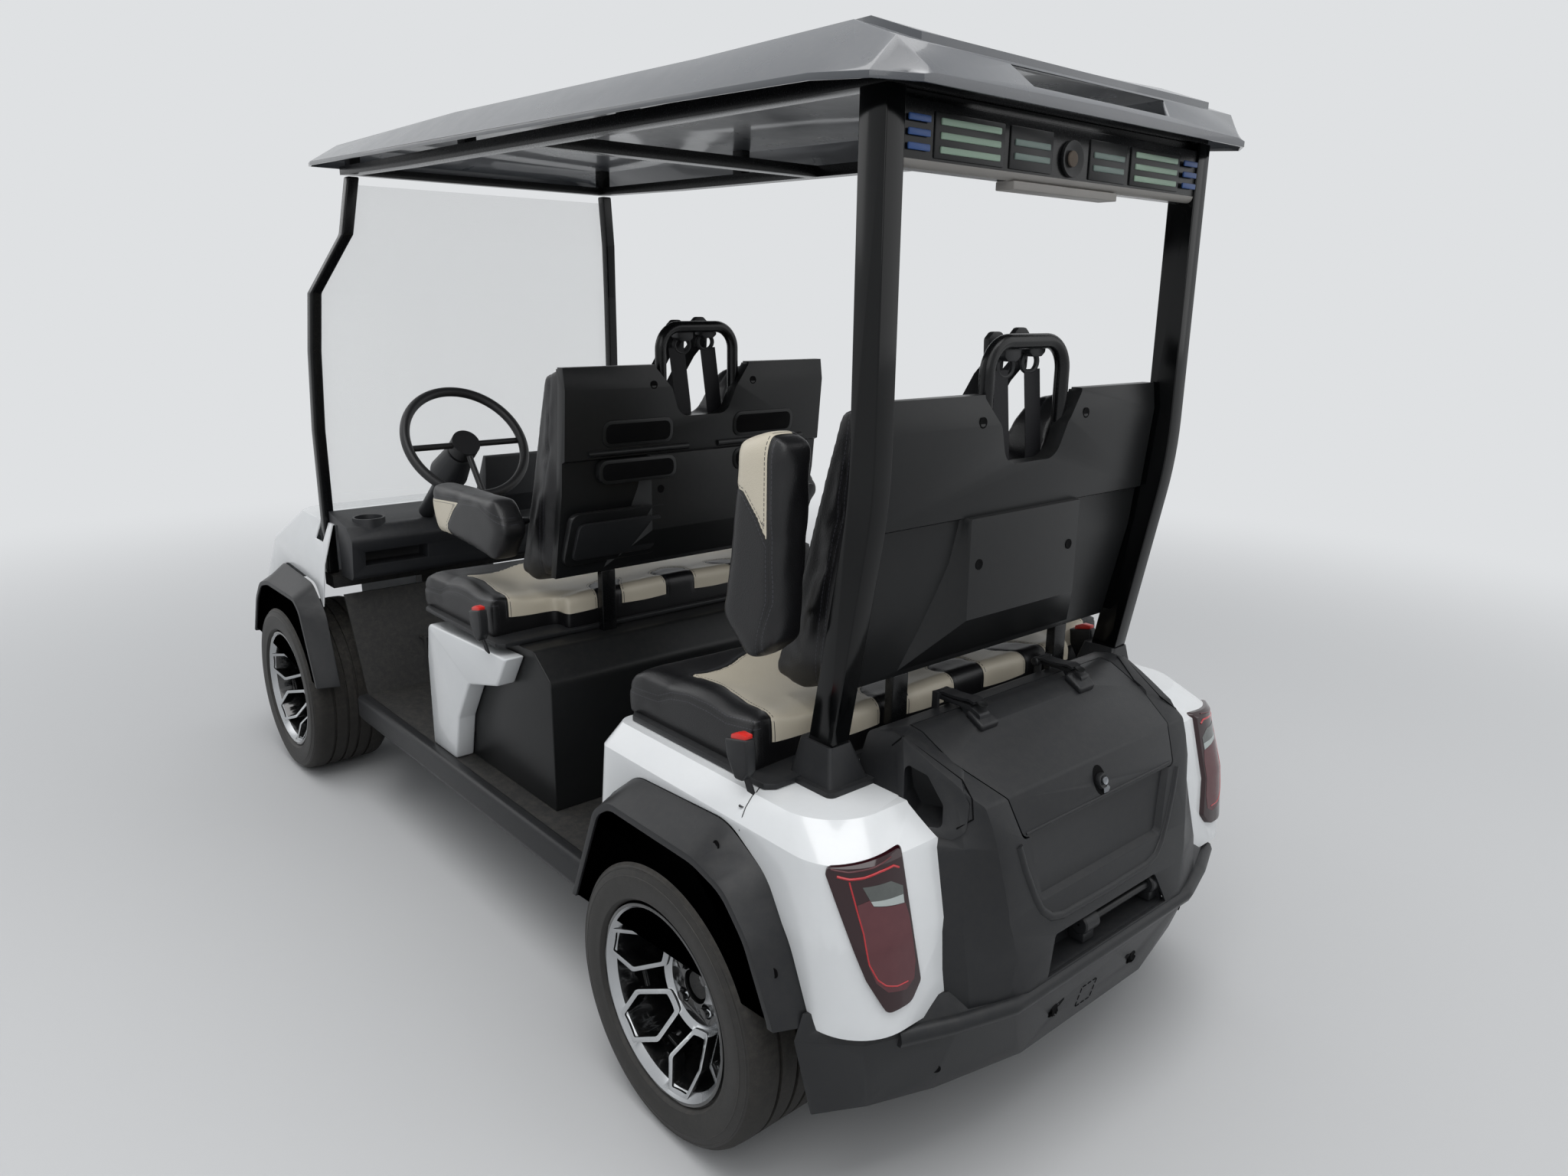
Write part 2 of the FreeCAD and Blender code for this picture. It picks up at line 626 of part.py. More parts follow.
FENDER_LEVELS = [
    # z, rear x, outer y, front x
    (s.fender_low_z, -455, s.fender_y, s.fender_front_x),
    (560, -435, s.fender_y, s.fender_front_x),
    (690, -400, s.fender_y - 10, s.fender_front_x),
    (s.deck_z, -335, s.fender_y - 45, s.fender_front_x - 15),
]


def fender_form(shrink, inboard, low):
    """Left fender block; its inner side and floor are left open by the shrunk form."""
    k = shrink
    sections = []
    for index, (z, rear_x, outer_y, front_x) in enumerate(FENDER_LEVELS):
        level = z + low if index == 0 else z
        level = level - k if index == len(FENDER_LEVELS) - 1 else level
        sections.append((level, [(front_x - k, inboard), (front_x - k, outer_y - k, 30 - k),
                                 (rear_x + k, outer_y - k, 110 - k), (rear_x + k, inboard)]))
    return loft(sections, "XY")


ARCH = [
    # opening of a wheel flare, x from the axle and height, rear foot to front foot
    (-312, 300), (-312, 410, 60), (-247, 535, 120), (-187, 597, 90), (-105, 618, 150),
    (160, 618, 60), (204, 590, 60), (300, 370), (300, 300),
]
FLARE_ROOT = [
    # where a flare meets the body
    (-352, 405), (-297, 532, 200), (-230, 626, 120), (-121, 684, 120), (163, 668, 90),
    (262, 590, 90), (334, 366),
]


def lip_outline():
    """Outer edge of the flare's lip: the opening grown by the lip's width."""
    w = s.flare_lip_w
    return [(-312 - w, 408), (-247 - w, 535 + w * 0.4, 120), (-187 - w * 0.6, 597 + w * 0.8, 90),
            (-105, 618 + w, 120), (160 + w * 0.3, 618 + w, 60), (204 + w, 590 + w * 0.4, 60),
            (300 + w, 368)]


def flare_form(shrink):
    """Tapered block of a flare from the body to its lip, about its axle."""
    root = FLARE_ROOT
    lip = lip_outline()
    if shrink:
        root = [(a * 0.985, b - shrink, *rest) for a, b, *rest in root]
        lip = [(a * 0.985, b - shrink, *rest) for a, b, *rest in lip]
    return loft([(s.flare_root_y, root), (s.flare_lip_y - shrink, lip)], "XZ")


flare_block = flare_form(0)
flare_opening = prism(ARCH, "XZ", s.flare_root_y - 20, s.flare_lip_y + 20)
arch_wall = [(a * 1.018, b + (s.flare_skin if b > 450 else 0), *rest) for a, b, *rest in ARCH]
flare_hollow = flare_form(s.flare_skin).cut(
    prism(arch_wall, "XZ", s.flare_root_y - 20, s.flare_lip_y + 20))
rear_flare = flare_block.cut(flare_opening).cut(flare_hollow)
rear_flare = max(rear_flare.Solids, key=lambda solid: solid.Volume)

fender_outer = fender_form(0, 300, 0)
fender_inner = fender_form(s.skin, 290, -10)
fender = fender_outer.cut(fender_inner).cut([trunk_outer, pod])
fender = fender.cut(prism(FLARE_ROOT, "XZ", s.flare_root_y - 30, s.flare_lip_y))
fender = fender.cut(box(-250, 400, 280, 700, 300, 420))

# Tail lamps: lenses let into the rear corners of the fenders

LAMP = [(171, 690, 10), (45, 700, 10), (5, 480, 14), (20, 452, 14), (60, 450, 16), (97, 513, 20)]
lamp_cut = prism(LAMP, "XZ", -200, 1200)
lamp_cut.rotate(Vector(0, 0, 0), Vector(0, 0, 1), 45)
lamp_stand = 7.0
fender_proud = fender_form(-lamp_stand, 290, 0)
tail_lamp = fender_proud.cut(fender_inner).common(lamp_cut)
tail_lamp = tail_lamp.cut(trunk_outer)
tail_lamp = max(tail_lamp.Solids, key=lambda solid: solid.Volume)
fender = fender.cut(lamp_cut)
fender = max(fender.Solids, key=lambda solid: solid.Volume)
add("rear_fenders", both_sides(fender))
add("tail_lamps", both_sides(tail_lamp))

# Rear bumper wraps the tail below the trunk

BUMPER_LEVELS = [
    # z, then x and y of the side end, the swept corner, the ridge end and the middle
    (222, -345, 600, -392, 513, -436, 392, -479, 200),
    (386, -343, 640, -425, 560, -488, 398, -520, 287),
    (430, -343, 622, -412, 540, -458, 392, -500, 287),
]


def bumper_form(shrink):
    """Block of the rear bumper, taken in by its wall."""
    k = shrink
    sections = []
    for z, x0, y0, x1, y1, x2, y2, x3, y3 in BUMPER_LEVELS:
        z = z - k if z == BUMPER_LEVELS[-1][0] else z
        half = [(-300 + k, y0 - k), (x0 + k, y0 - k), (x1 + k, y1 - k), (x2 + k, y2 - k),
                (x3 + k, y3 - k)]
        sections.append((z, across(half)))
    return loft(sections, "XY")


bumper = bumper_form(0)
bumper_void = bumper_form(s.bumper_skin)
bumper = bumper.cut(bumper_void).cut(box(-342, 0, -700, 700, 200, 500))
bumper = bumper.cut(fender_outer).cut(mirrored(fender_outer)).cut(trunk_outer)
bumper = bumper.cut(box(-410, 0, -450, 450, 200, 500))
for y in (-131, 131):
    bumper = bumper.cut(rod((-600, y, 287), (-400, y, 287), 14))
for block in (flare_block, mirrored(flare_block)):
    bumper = bumper.cut(block)
bumper = max(bumper.Solids, key=lambda solid: solid.Volume)
add("rear_bumper", bumper)

# Flares at the four wheels

front_flare = rear_flare.mirror(Vector(0, 0, 0), Vector(1, 0, 0)).translated(
    Vector(s.wheelbase, 0, 0))
flares = [rear_flare, mirrored(rear_flare), front_flare, mirrored(front_flare)]
add("wheel_flares", Part.makeCompound(flares))

# Front cowl: hollow shell over the front wheels with a nose between them

COWL_LEVELS = [
    # z, rear x from the front axle, half width, corner radius, front x from the front axle
    (420, -242, 596, 40, 373),
    (600, -242, 606, 60, 378),
    (740, -242, 590, 90, 333),
    (860, -212, 545, 90, 143),
]


def cowl_form(shrink):
    """Block of the front cowl, taken in by the skin."""
    k = shrink
    sections = []
    for index, (z, rear_x, half, radius, front_x) in enumerate(COWL_LEVELS):
        rear_x, front_x = rear_x + s.wheelbase, front_x + s.wheelbase
        level = z - k if index == len(COWL_LEVELS) - 1 else z
        level = level - 10 if k and index == 0 else level
        sections.append((level, [(rear_x - k, -half + k), (front_x - k, -half + k, radius),
                                 (front_x - k, half - k, radius), (rear_x - k, half - k)]))
    return loft(sections, "XY")


cowl = cowl_form(0).cut(cowl_form(s.skin))
front_root = [(s.wheelbase - a, b, *rest) for a, b, *rest in FLARE_ROOT]
cowl = cowl.cut(prism(front_root, "XZ", s.flare_root_y - 30, s.flare_lip_y))
cowl = cowl.cut(prism(front_root, "XZ", -s.flare_lip_y, 30 - s.flare_root_y))
for low, high in ((270, 700), (-700, -270)):
    cowl = cowl.cut(box(s.wheelbase - 240, nose_x, low, high, 300, 560))
post_holes = [box(front_post_foot[0] - 30, front_post_foot[0] + 40, y - 40, y + 40, 800, 900)
              for y in (-front_post_foot[1], front_post_foot[1])]
for hole in post_holes:
    cowl = cowl.cut(hole)
cowl = max(cowl.Solids, key=lambda solid: solid.Volume)
add("front_cowl", cowl)

# Front bumper below the nose

front_bumper = loft([
    (250, across([(nose_x - 60, 290), (nose_x - 20, 220)])),
    (330, across([(nose_x - 60, 340), (nose_x, 240)])),
    (420, across([(nose_x - 60, 320), (nose_x - 12, 240)])),
], "XY")
add("front_bumper", front_bumper)

# Headlamps in the corners of the cowl

head_cut = prism([(-60, 640, 14), (110, 640, 14), (90, 715, 14), (-40, 730, 14)], "XZ", -3000, 3000)
head_cut.rotate(Vector(0, 0, 0), Vector(0, 0, 1), -60)
head_cut = head_cut.translated(Vector(s.wheelbase + 348, 520, 0))
head_lamp = cowl_form(-6).cut(cowl_form(s.skin)).common(head_cut).common(
    box(s.wheelbase + 113, s.wheelbase + 513, 250, 700, 500, 900))
head_lamp = max(head_lamp.Solids, key=lambda solid: solid.Volume)
cowl_piece = next(piece for piece in pieces if piece.Label == "front_cowl")
cut_cowl = cowl.cut(head_lamp).cut(mirrored(head_lamp))
cowl_piece.Shape = max(cut_cowl.Solids, key=lambda solid: solid.Volume)
add("headlamps", both_sides(head_lamp))

# Trunk tub with its grab bar, and the lid

grip_z = 448.0
grip = rod((-505, -135, grip_z), (-505, 135, grip_z), 9)
grip_bosses = [rod((-505, side * 118, grip_z), (-505, side * 150, grip_z), 17) for side in (-1, 1)]
tub = tub.fuse([grip] + grip_bosses)
add("trunk_tub", max(tub.Solids, key=lambda solid: solid.Volume))
add("trunk_lid", max(lid.Solids, key=lambda solid: solid.Volume))

# Seat bases, battery pack and the white side pods

rear_base = box(post_foot_x + 60, s.floor_rear_x, -300, 300, rail_top + kick, s.deck_z)
rear_base = rear_base.cut(box(post_foot_x + 65, s.floor_rear_x - 5, -295, 295, 300, s.deck_z - 5))
front_wall = box(s.floor_rear_x - 5, s.floor_rear_x, -rail_in, rail_in, s.floor_z - s.floor_thick,
                 rail_top + kick)
rear_base = rear_base.fuse(front_wall)
add("rear_seat_base", rear_base)

pod_in = s.floor_half - 53
pod_outline = [
    (1293, s.floor_z), (1293, 600), (1275, 700, 20), (820, 716), (880, 630, 20), (1040, 590, 20),
    (1120, 470, 20), (1150, s.floor_z),
]
add("side_pods", both_sides(prism(pod_outline, "XZ", pod_in, s.floor_half)))
base_half = pod_in
base_rear_x, base_front_x, base_slope_x, base_slope_z, base_wall = 700.0, 1270.0, 780.0, 675.0, 6.0


def base_form(wall):
    """Front seat base, taken in by its wall, open below when it is taken in."""
    rear, front, top = base_rear_x + wall, base_front_x - wall, s.deck_z - wall
    low = s.floor_z - wall
    slope = [(base_slope_x + wall / 2, top, 30), (rear, base_slope_z - wall / 2, 30)]
    return prism([(rear, low), (front, low), (front, top)] + slope, "XZ", wall - base_half,
                 base_half - wall)


front_base = base_form(0).cut(base_form(base_wall))
add("front_seat_base", front_base)
add("battery_pack", box(790, 1180, -330, 330, s.floor_z, 610))

# Seats: cushion, backrest pad, moulded shell, belt hoop and arm pads, twice

CUSHION = [
    (-165, 0), (305, 0), (310, 55, 25), (285, 100, 50), (-120, 92, 60), (-165, 112, 20)]
BACK = [
    # pad between cushion and shell, x from the rear axle at the rear bench
    (22, 868, 20), (-70, 856, 20), (-166, 905), (-212, 1110), (-236, 1385), (-205, 1402, 15),
    (-148, 1385, 30), (-62, 1110)]
SHELL_REAR = [
    # rear surface of the shell, bottom to top
    (-190, 893), (-236, 1105), (-262, 1360), (-258, 1400)]


def seat_shell():
    """Moulded shell with a raised middle and the notch for the belts."""
    t = s.shell_thick
    front = [(x + t, z) for x, z in SHELL_REAR]
    body = prism(SHELL_REAR + list(reversed(front)), "XZ", -s.back_half, s.back_half)
    upper = prism([(-238, 1180), (-256, 1188), (-271, 1352), (-264, 1404), (-240, 1404), (-225, 1180)],
                  "XZ", -s.back_half, s.back_half)
    raised = loft([
        (-266, [(-165, 1186), (165, 1186), (165, 998), (-165, 998)]),
        (-190, [(-190, 1200), (190, 1200), (268, 900), (-268, 900)]),
    ], "YZ")
    body = body.fuse([upper, raised])
    body = body.cut(prism(across_notch(s.notch_half), "YZ", -400, 0))
    return body


def across_notch(half):
    """Notch in the top of a backrest: flared shoulders over a rounded well."""
    side = [(half, 1500), (half, 1398, 10), (half - 45, 1345, 30), (half - 70, 1276, 40)]
    return [(-a, b, *rest) for a, b, *rest in side] + list(reversed(side))


def hoop():
    """Belt hoop: a bent tube over the notch, its feet on the shell."""
    half = s.hoop_half
    x = -238
    feet_z = 1300
    top_z = 1492
    bend = 55.0
    path = Part.Wire([
        Part.makeLine(Vector(x, -half, feet_z), Vector(x, -half, top_z - bend)),
        Part.Arc(Vector(x, -half, top_z - bend),
                 Vector(x, -half + bend * (1 - math.sqrt(0.5)), top_z - bend * (1 - math.sqrt(0.5))),
                 Vector(x, -half + bend, top_z)).toShape(),
        Part.makeLine(Vector(x, -half + bend, top_z), Vector(x, half - bend, top_z)),
        Part.Arc(Vector(x, half - bend, top_z),
                 Vector(x, half - bend * (1 - math.sqrt(0.5)), top_z - bend * (1 - math.sqrt(0.5))),
                 Vector(x, half, top_z - bend)).toShape(),
        Part.makeLine(Vector(x, half, top_z - bend), Vector(x, half, feet_z)),
    ])
    ring = Part.Wire([Part.makeCircle(s.hoop_tube, Vector(x, -half, feet_z), Vector(0, 0, 1))])
    return path.makePipeShell([ring], True, False)


bracket_y = 250.0
brackets = []
for bench_x, foot_z in ((0.0, s.rear_beam_z + 40), (s.seat_pitch, s.deck_z)):
    for y in (-bracket_y, bracket_y):
        brackets.append(box(bench_x - 190, bench_x - 168, y - 20, y + 20, foot_z, 893))
add("seat_brackets", Part.makeCompound(brackets))

seat_top = s.deck_z + s.running_gap
cushion_points = [(a, seat_top + b, *rest) for a, b, *rest in CUSHION]
cushion = prism(cushion_points, "XZ", -s.cushion_half, s.cushion_half)
boot_zone = box(-300, -105, 355, 600, 700, 900)
cushion = cushion.cut(boot_zone).cut(mirrored(boot_zone))
pad = prism(BACK, "XZ", -s.back_half, s.back_half)
pad = pad.cut(prism(across_notch(s.notch_half + 6), "YZ", -400, 100))
shell = seat_shell()
belt_hoop = hoop()
pad = pad.cut(shell).cut(belt_hoop)
shell = shell.cut(belt_hoop)
arm_outline = [(-25, 1335, 25), (-105, 1358, 25), (-158, 1340, 20), (-160, 1240, 60),
               (-140, 985, 30), (-61, 930, 30), (25, 1000, 40)]
arm_in_y, arm_out_y = 440.0, 515.0
pivot_x, pivot_z, pivot_radius = -70.0, 1020.0, 16.0
arm_pivot = rod((pivot_x, s.back_half + s.running_gap, pivot_z), (pivot_x, arm_in_y + 5, pivot_z),
                pivot_radius)
raised_arm = prism(arm_outline, "XZ", arm_in_y, arm_out_y).fuse(arm_pivot)
# the front pair is swung down to the sitters, the rear pair stands up
lowered_turn = 94.0
lowered_arm = raised_arm.copy()
lowered_arm.rotate(Vector(pivot_x, 0, pivot_z), Vector(0, 1, 0), lowered_turn)
lowered_arm = lowered_arm.translated(Vector(s.seat_pitch, 0, 0))
benches = [Vector(0, 0, 0), Vector(s.seat_pitch, 0, 0)]


def at_benches(shape):
    """The same piece at the rear and the front bench."""
    return Part.makeCompound([shape.translated(bench) for bench in benches])


add("seat_cushions", at_benches(cushion))
add("seat_backs", at_benches(pad))
add("seat_shells", at_benches(shell))
add("belt_hoops", at_benches(belt_hoop))
add("arm_pads", Part.makeCompound([both_sides(raised_arm), both_sides(lowered_arm)]))

# Rear posts in their boots

post_side = [
    (post_foot_x - 4, s.deck_z), (s.post_top_x, s.post_bend_z, 900),
    (s.post_top_x, s.roof_z), (s.post_top_x + s.post_d, s.roof_z),
    (s.post_top_x + s.post_d, s.post_bend_z, 850), (post_foot_x + s.post_d, s.deck_z),
]
post = prism(post_side, "XZ", s.post_y - s.post_w, s.post_y)
add("rear_posts", both_sides(post))
boot_low = [(-252, 366), (-120, 366), (-120, 484), (-252, 484)]
boot_top = [(-226, 409), (-146, 409), (-146, 462), (-226, 462)]
boot = loft([
    (s.deck_z, [(a, b, 14) for a, b in boot_low]),
    (s.deck_z + 10, [(a, b, 14) for a, b in boot_low]),
], "XY").fuse(loft([
    (s.deck_z + 10, [(a, b, 8) for a, b in [(-240, 380), (-132, 380), (-132, 474), (-240, 474)]]),
    (s.deck_z + 79, [(a, b, 8) for a, b in boot_top]),
], "XY")).cut(post).cut(trunk_outer)
boot = max(boot.Solids, key=lambda solid: solid.Volume)
add("post_boots", both_sides(boot))

# Front posts: straight below, stepping in and back under the roof

front_top_z = s.roof_z + s.roof_rise - 12
FRONT_POST = [
    # x from the front axle, y and z of the post's middle, roof to cowl
    (-315, 426, front_top_z - 0.7), (-294, 449, 1730), (-183, 519, 1562), (-165, 530, 1390),
    (-151, front_post_foot[1], 1150), (-150, front_post_foot[1], front_beam_z + 40),
]
FRONT_POST = [(x + s.wheelbase, y, z) for x, y, z in FRONT_POST]


def front_post_shape():
    """Square tube through the post's points, each run a ruled solid."""
    half = s.front_post_w / 2
    sections = []
    for x, y, z in FRONT_POST:
        corners = [(x - half, y - half), (x + half, y - half), (x + half, y + half),
                   (x - half, y + half)]
        sections.append(wire(corners, "XY", z))
    return Part.makeLoft(sections, True, True)


front_post = front_post_shape()
add("front_posts", both_sides(front_post))

# Windshield between the front posts

SCREEN_LEVELS = [front_top_z - 20, 1730, 1562, 1390, 1150, 890]


def post_at(level):
    """x and y of the middle of a front post at a height."""
    for (x0, y0, z0), (x1, y1, z1) in zip(FRONT_POST, FRONT_POST[1:]):
        if z1 <= level <= z0:
            share = (z0 - level) / (z0 - z1)
            return x0 + (x1 - x0) * share, y0 + (y1 - y0) * share
    raise ValueError("no post at that height")


def screen_section(level):
    """Slice of the windshield, in front of the posts."""
    x, y = post_at(level)
    back = x + s.front_post_w / 2 + s.running_gap
    return wire([(back, -y), (back + 5, -y), (back + 5, y), (back, y)], "XY", level)


screen = Part.makeLoft([screen_section(level) for level in SCREEN_LEVELS], True, True)
add("windshield", screen)

# Dashboard with a cup well at the left, its top under the windshield

cowl_top = COWL_LEVELS[-1][0] + s.running_gap
dash_outline = [
    (dash_rear_x, 700, 20), (dash_rear_x - 18, 830, 20), (dash_rear_x + 20, s.dash_top_z, 20),
    (s.wheelbase - 177, s.dash_top_z + 30), (s.wheelbase - 177, cowl_top),
    (s.wheelbase - 247, cowl_top), (s.wheelbase - 247, 700),
]
dash = prism(dash_outline, "XZ", -540, 540)
cup_x = s.wheelbase - 287
cup_floor_z, cup_rim_z = 800.0, 885.0
for y in (-455, 455):
    dash = dash.fuse(rod((cup_x, y, cup_floor_z - 6), (cup_x, y, cup_rim_z), s.cup_radius + 7))
    dash = dash.cut(rod((cup_x, y, cup_floor_z), (cup_x, y, cup_rim_z), s.cup_radius))
for y0, y1 in ((300, 500), (-500, -150)):
    dash = dash.cut(box(dash_rear_x - 140, cup_x + 5, y0, y1, 745, 790))
display = prism([(s.wheelbase - 400, 925), (s.wheelbase - 412, 1060, 6), (s.wheelbase - 396, 1062, 6),
                 (s.wheelbase - 330, 940), (s.wheelbase - 300, 860), (s.wheelbase - 332, 850)], "XZ",
                -90, 110)
dash = dash.fuse(display)
dash = dash.cut(front_post).cut(mirrored(front_post))

# Steering column and wheel

tilt = math.radians(s.column_tilt)
column_dir = Vector(-math.cos(tilt), 0, math.sin(tilt))
wheel_hub_x = s.wheelbase - s.wheel_hub_back
hub = Vector(wheel_hub_x, s.column_y, s.wheel_hub_z)
column_foot = hub - column_dir * 420
column_top = hub - column_dir * 45
column = Part.makeCylinder(26, (column_top - column_foot).Length, column_foot, column_dir)
shroud = Part.makeCone(58, 40, 120, hub - column_dir * 175, column_dir)
column_bore = Part.makeCylinder(26 + s.running_gap, 400, column_foot, column_dir)
dash = dash.cut(column_bore)
add("dashboard", max(dash.Solids, key=lambda solid: solid.Volume))
add("steering_column", column.fuse(shroud))


def steering_wheel_shape():
    """Rim, three spokes and hub of the steering wheel."""
    rim = Part.makeTorus(s.steering_wheel_radius, 14, hub, column_dir)
    centre = Part.makeCylinder(42, 40, hub - column_dir * 40, column_dir)
    solid = rim.fuse(centre)
    side = Vector(0, 1, 0)
    up = column_dir.cross(side)
    for angle in (0, 180, 270):
        turn = math.radians(angle)
        way = side * math.cos(turn) + up * math.sin(turn) * -1
        spoke = Part.makeCylinder(9, s.steering_wheel_radius, hub - column_dir * 12, way)
        solid = solid.fuse(spoke)
    shaft = Part.makeCylinder(10, 6, hub - column_dir * (45 - s.running_gap), column_dir)
    return solid.fuse(shaft)


add("steering_wheel", steering_wheel_shape())

# Pedals on the toe board

pedal_x = s.wheelbase - 487
pedals = Part.makeCompound([
    box(pedal_x, pedal_x + 20, 190, 240, 420, 520).fuse(
        rod((pedal_x + 12, 215, 470), (pedal_x + 150, 215, 480), 6)),
    box(pedal_x, pedal_x + 20, 300, 380, 440, 520).fuse(
        rod((pedal_x + 12, 340, 480), (pedal_x + 150, 340, 480), 6)),
])
floor_tool = prism(floor_outline, "XZ", -s.floor_half, s.floor_half)
add("pedals", Part.makeCompound([
    max(solid.cut(floor_tool).Solids, key=lambda item: item.Volume) for solid in pedals.Solids]))

# Axles and suspension that show from below

axle_z = s.tyre_radius
axle_end = spoke_back_y - s.running_gap
rear_axle = rod((0, -axle_end, axle_z), (0, axle_end, axle_z), 32)
hub_ends = []
for side in (-1, 1):
    hub_ends.append(rod((0, side * (axle_end - 16), axle_z), (0, side * axle_end, axle_z), 74))
    hub_ends.append(rod((0, side * (axle_end - 2), axle_z), (0, side * (axle_end + 20), axle_z), stub_radius))
diff = Part.makeSphere(95, Vector(0, -60, axle_z))
motor = rod((30, -60, axle_z), (30, 200, axle_z), 88)
rear_axle = rear_axle.fuse([diff, motor] + hub_ends)
add("rear_axle", rear_axle)

spring_z = axle_z + 32
spring = prism([(-330, spring_z + 60), (-60, spring_z), (60, spring_z), (262, spring_z + 10),
                (262, spring_z + 28), (60, spring_z + 18), (-60, spring_z + 18),
                (-330, spring_z + 78)], "XZ", rail_out, rail_out + 60)
front_arm = prism([(s.wheelbase - 110, rail_out), (s.wheelbase + 110, rail_out),
                   (s.wheelbase + 22, s.kingpin_y + 14), (s.wheelbase - 22, s.kingpin_y + 14)],
                  "XY", 0, 14)
arm_gap = s.running_gap
low_arm = front_arm.translated(Vector(0, 0, axle_z - kingpin_half - 14 - arm_gap))
top_arm = front_arm.translated(Vector(0, 0, axle_z + kingpin_half + arm_gap))
suspension = [spring, mirrored(spring), low_arm, mirrored(low_arm), top_arm, mirrored(top_arm)]
add("suspension", Part.makeCompound(suspension))

# Roof: shell with humped corners over a frame of two side rails

ROOF = [
    # x, half width at the edge, edge z, half width and z of the shoulder, crown z
    (-372, 455, 1852, 430, 1866, 1870),
    (-330, 520, 1854, 470, 1915, 1915),
    (-215, 530, 1864, 440, 1958, 1946),
    (150, 534, 1874, 455, 1955, 1962),
    (1100, 534, 1896, 455, 1975, 1990),
    (s.wheelbase - 287, 530, 1915, 450, 1975, 1984),
    (s.wheelbase - 197, 505, 1920, 430, 1948, 1950),
]


def roof_form(drop):
    """Roof block, or the same taken in and down by the skin."""
    sections = []
    for index, (x, edge_y, edge_z, shoulder_y, shoulder_z, crown_z) in enumerate(ROOF):
        end = index in (0, len(ROOF) - 1)
        shift = (drop if index == 0 else -drop) if end else 0
        low = edge_z - (20 if drop else 0)
        side = edge_y - drop
        half = [(side, low), (side, edge_z + 10 - drop), (shoulder_y - drop, shoulder_z - drop)]
        points = half + [(0, crown_z - drop)] + [(-a, b) for a, b in reversed(half)]
        sections.append((x + shift, points))
    return loft(sections, "YZ")


roof = roof_form(0)
roof_hollow = roof_form(s.roof_skin)
tail_band = roof_form(-12).common(box(-318, -130, -405, 405, 1900, 2100))
tail_recess = prism([(-220, 1911), (220, 1911), (196, 1879), (-196, 1879)], "YZ", -420, -318)
recess_floor = roof_form(16).common(tail_recess).cut(roof_form(16 + s.roof_skin))
roof_hollow = roof_hollow.cut(tail_recess.cut(roof_form(16 + s.roof_skin)))
roof_shell = roof.fuse(tail_band).cut(roof_hollow).cut(tail_recess.cut(roof_form(16)))
roof_shell = roof_shell.fuse(recess_floor)
roof_shell = max(roof_shell.Solids, key=lambda solid: solid.Volume)
add("roof_shell", roof_shell)

frame_top = s.roof_z
roof_end = s.wheelbase - 277
rail_points = [(s.post_top_x, frame_top), (roof_end, front_top_z), (roof_end, front_top_z + 28),
               (s.post_top_x, frame_top + 28)]
roof_rail = prism(rail_points, "XZ", 405, 445)
cross = [box(s.post_top_x, s.post_top_x + 40, -405, 405, frame_top, frame_top + 28),
         box(780, 820, -405, 405, frame_top + 14, frame_top + 42),
         box(roof_end - 50, roof_end - 10, -405, 405, front_top_z, front_top_z + 27)]
stands = []
for x in (-280, 400, 1100, roof_end - 60):
    for low, high in ((405, 435), (-435, -405)):
        stands.append(box(x, x + 40, low, high, frame_top + 20, 2100))
roof_frame = roof_rail.fuse([mirrored(roof_rail)] + cross + stands)
roof_frame = roof_frame.common(roof_hollow)
add("roof_frame", max(roof_frame.Solids, key=lambda solid: solid.Volume))

# Light bar under the tail of the roof, between the rear posts

bar_half = s.post_y - s.post_w
light_bar = prism([(-300, 1752, 12), (-300, 1848), (-255, 1848), (-255, 1752, 12)],
                  "XZ", -bar_half, bar_half)
dome = prism([(-300, 1738), (-262, 1738), (-262, 1752), (-300, 1752)], "XZ", -150, 150)
bar_top = box(-290, -265, -bar_half, bar_half, 1848, frame_top)
add("light_bar", light_bar.fuse([dome, bar_top]))

# Every piece gets the same placement, which puts the origin under the middle of the cart

for piece in pieces:
    piece.Placement = Placement(Vector(origin_shift, 0, 0), Rotation()).multiply(piece.Placement)
doc.recompute()

problems = [item.Name for item in doc.Objects if "Invalid" in item.State or "Error" in item.State]
for piece in pieces:
    if piece.Shape.isNull() or not piece.Shape.isValid():
        problems.append(piece.Label)
if problems:
    raise RuntimeError("failed objects: " + ", ".join(problems))

os.makedirs("parts", exist_ok=True)
for piece in pieces:
    piece.Shape.exportStep(os.path.join("parts", piece.Label + ".step"))
    extent = piece.Shape.optimalBoundingBox(False)
    print("%-18s %2d solids %8.0f cm3  x %6.0f %6.0f  y %6.0f %6.0f  z %6.0f %6.0f" % (
        piece.Label, len(piece.Shape.Solids), piece.Shape.Volume / 1000.0,
        extent.XMin, extent.XMax, extent.YMin, extent.YMax, extent.ZMin, extent.ZMax))
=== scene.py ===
"""Studio scene of a four-seat golf cart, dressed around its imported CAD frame."""
import json
import logging
import math
from dataclasses import dataclass, field
from enum import Enum
from typing import Callable, Iterable, Sequence

import bpy
from mathutils import Matrix, Vector
from mathutils.bvhtree import BVHTree

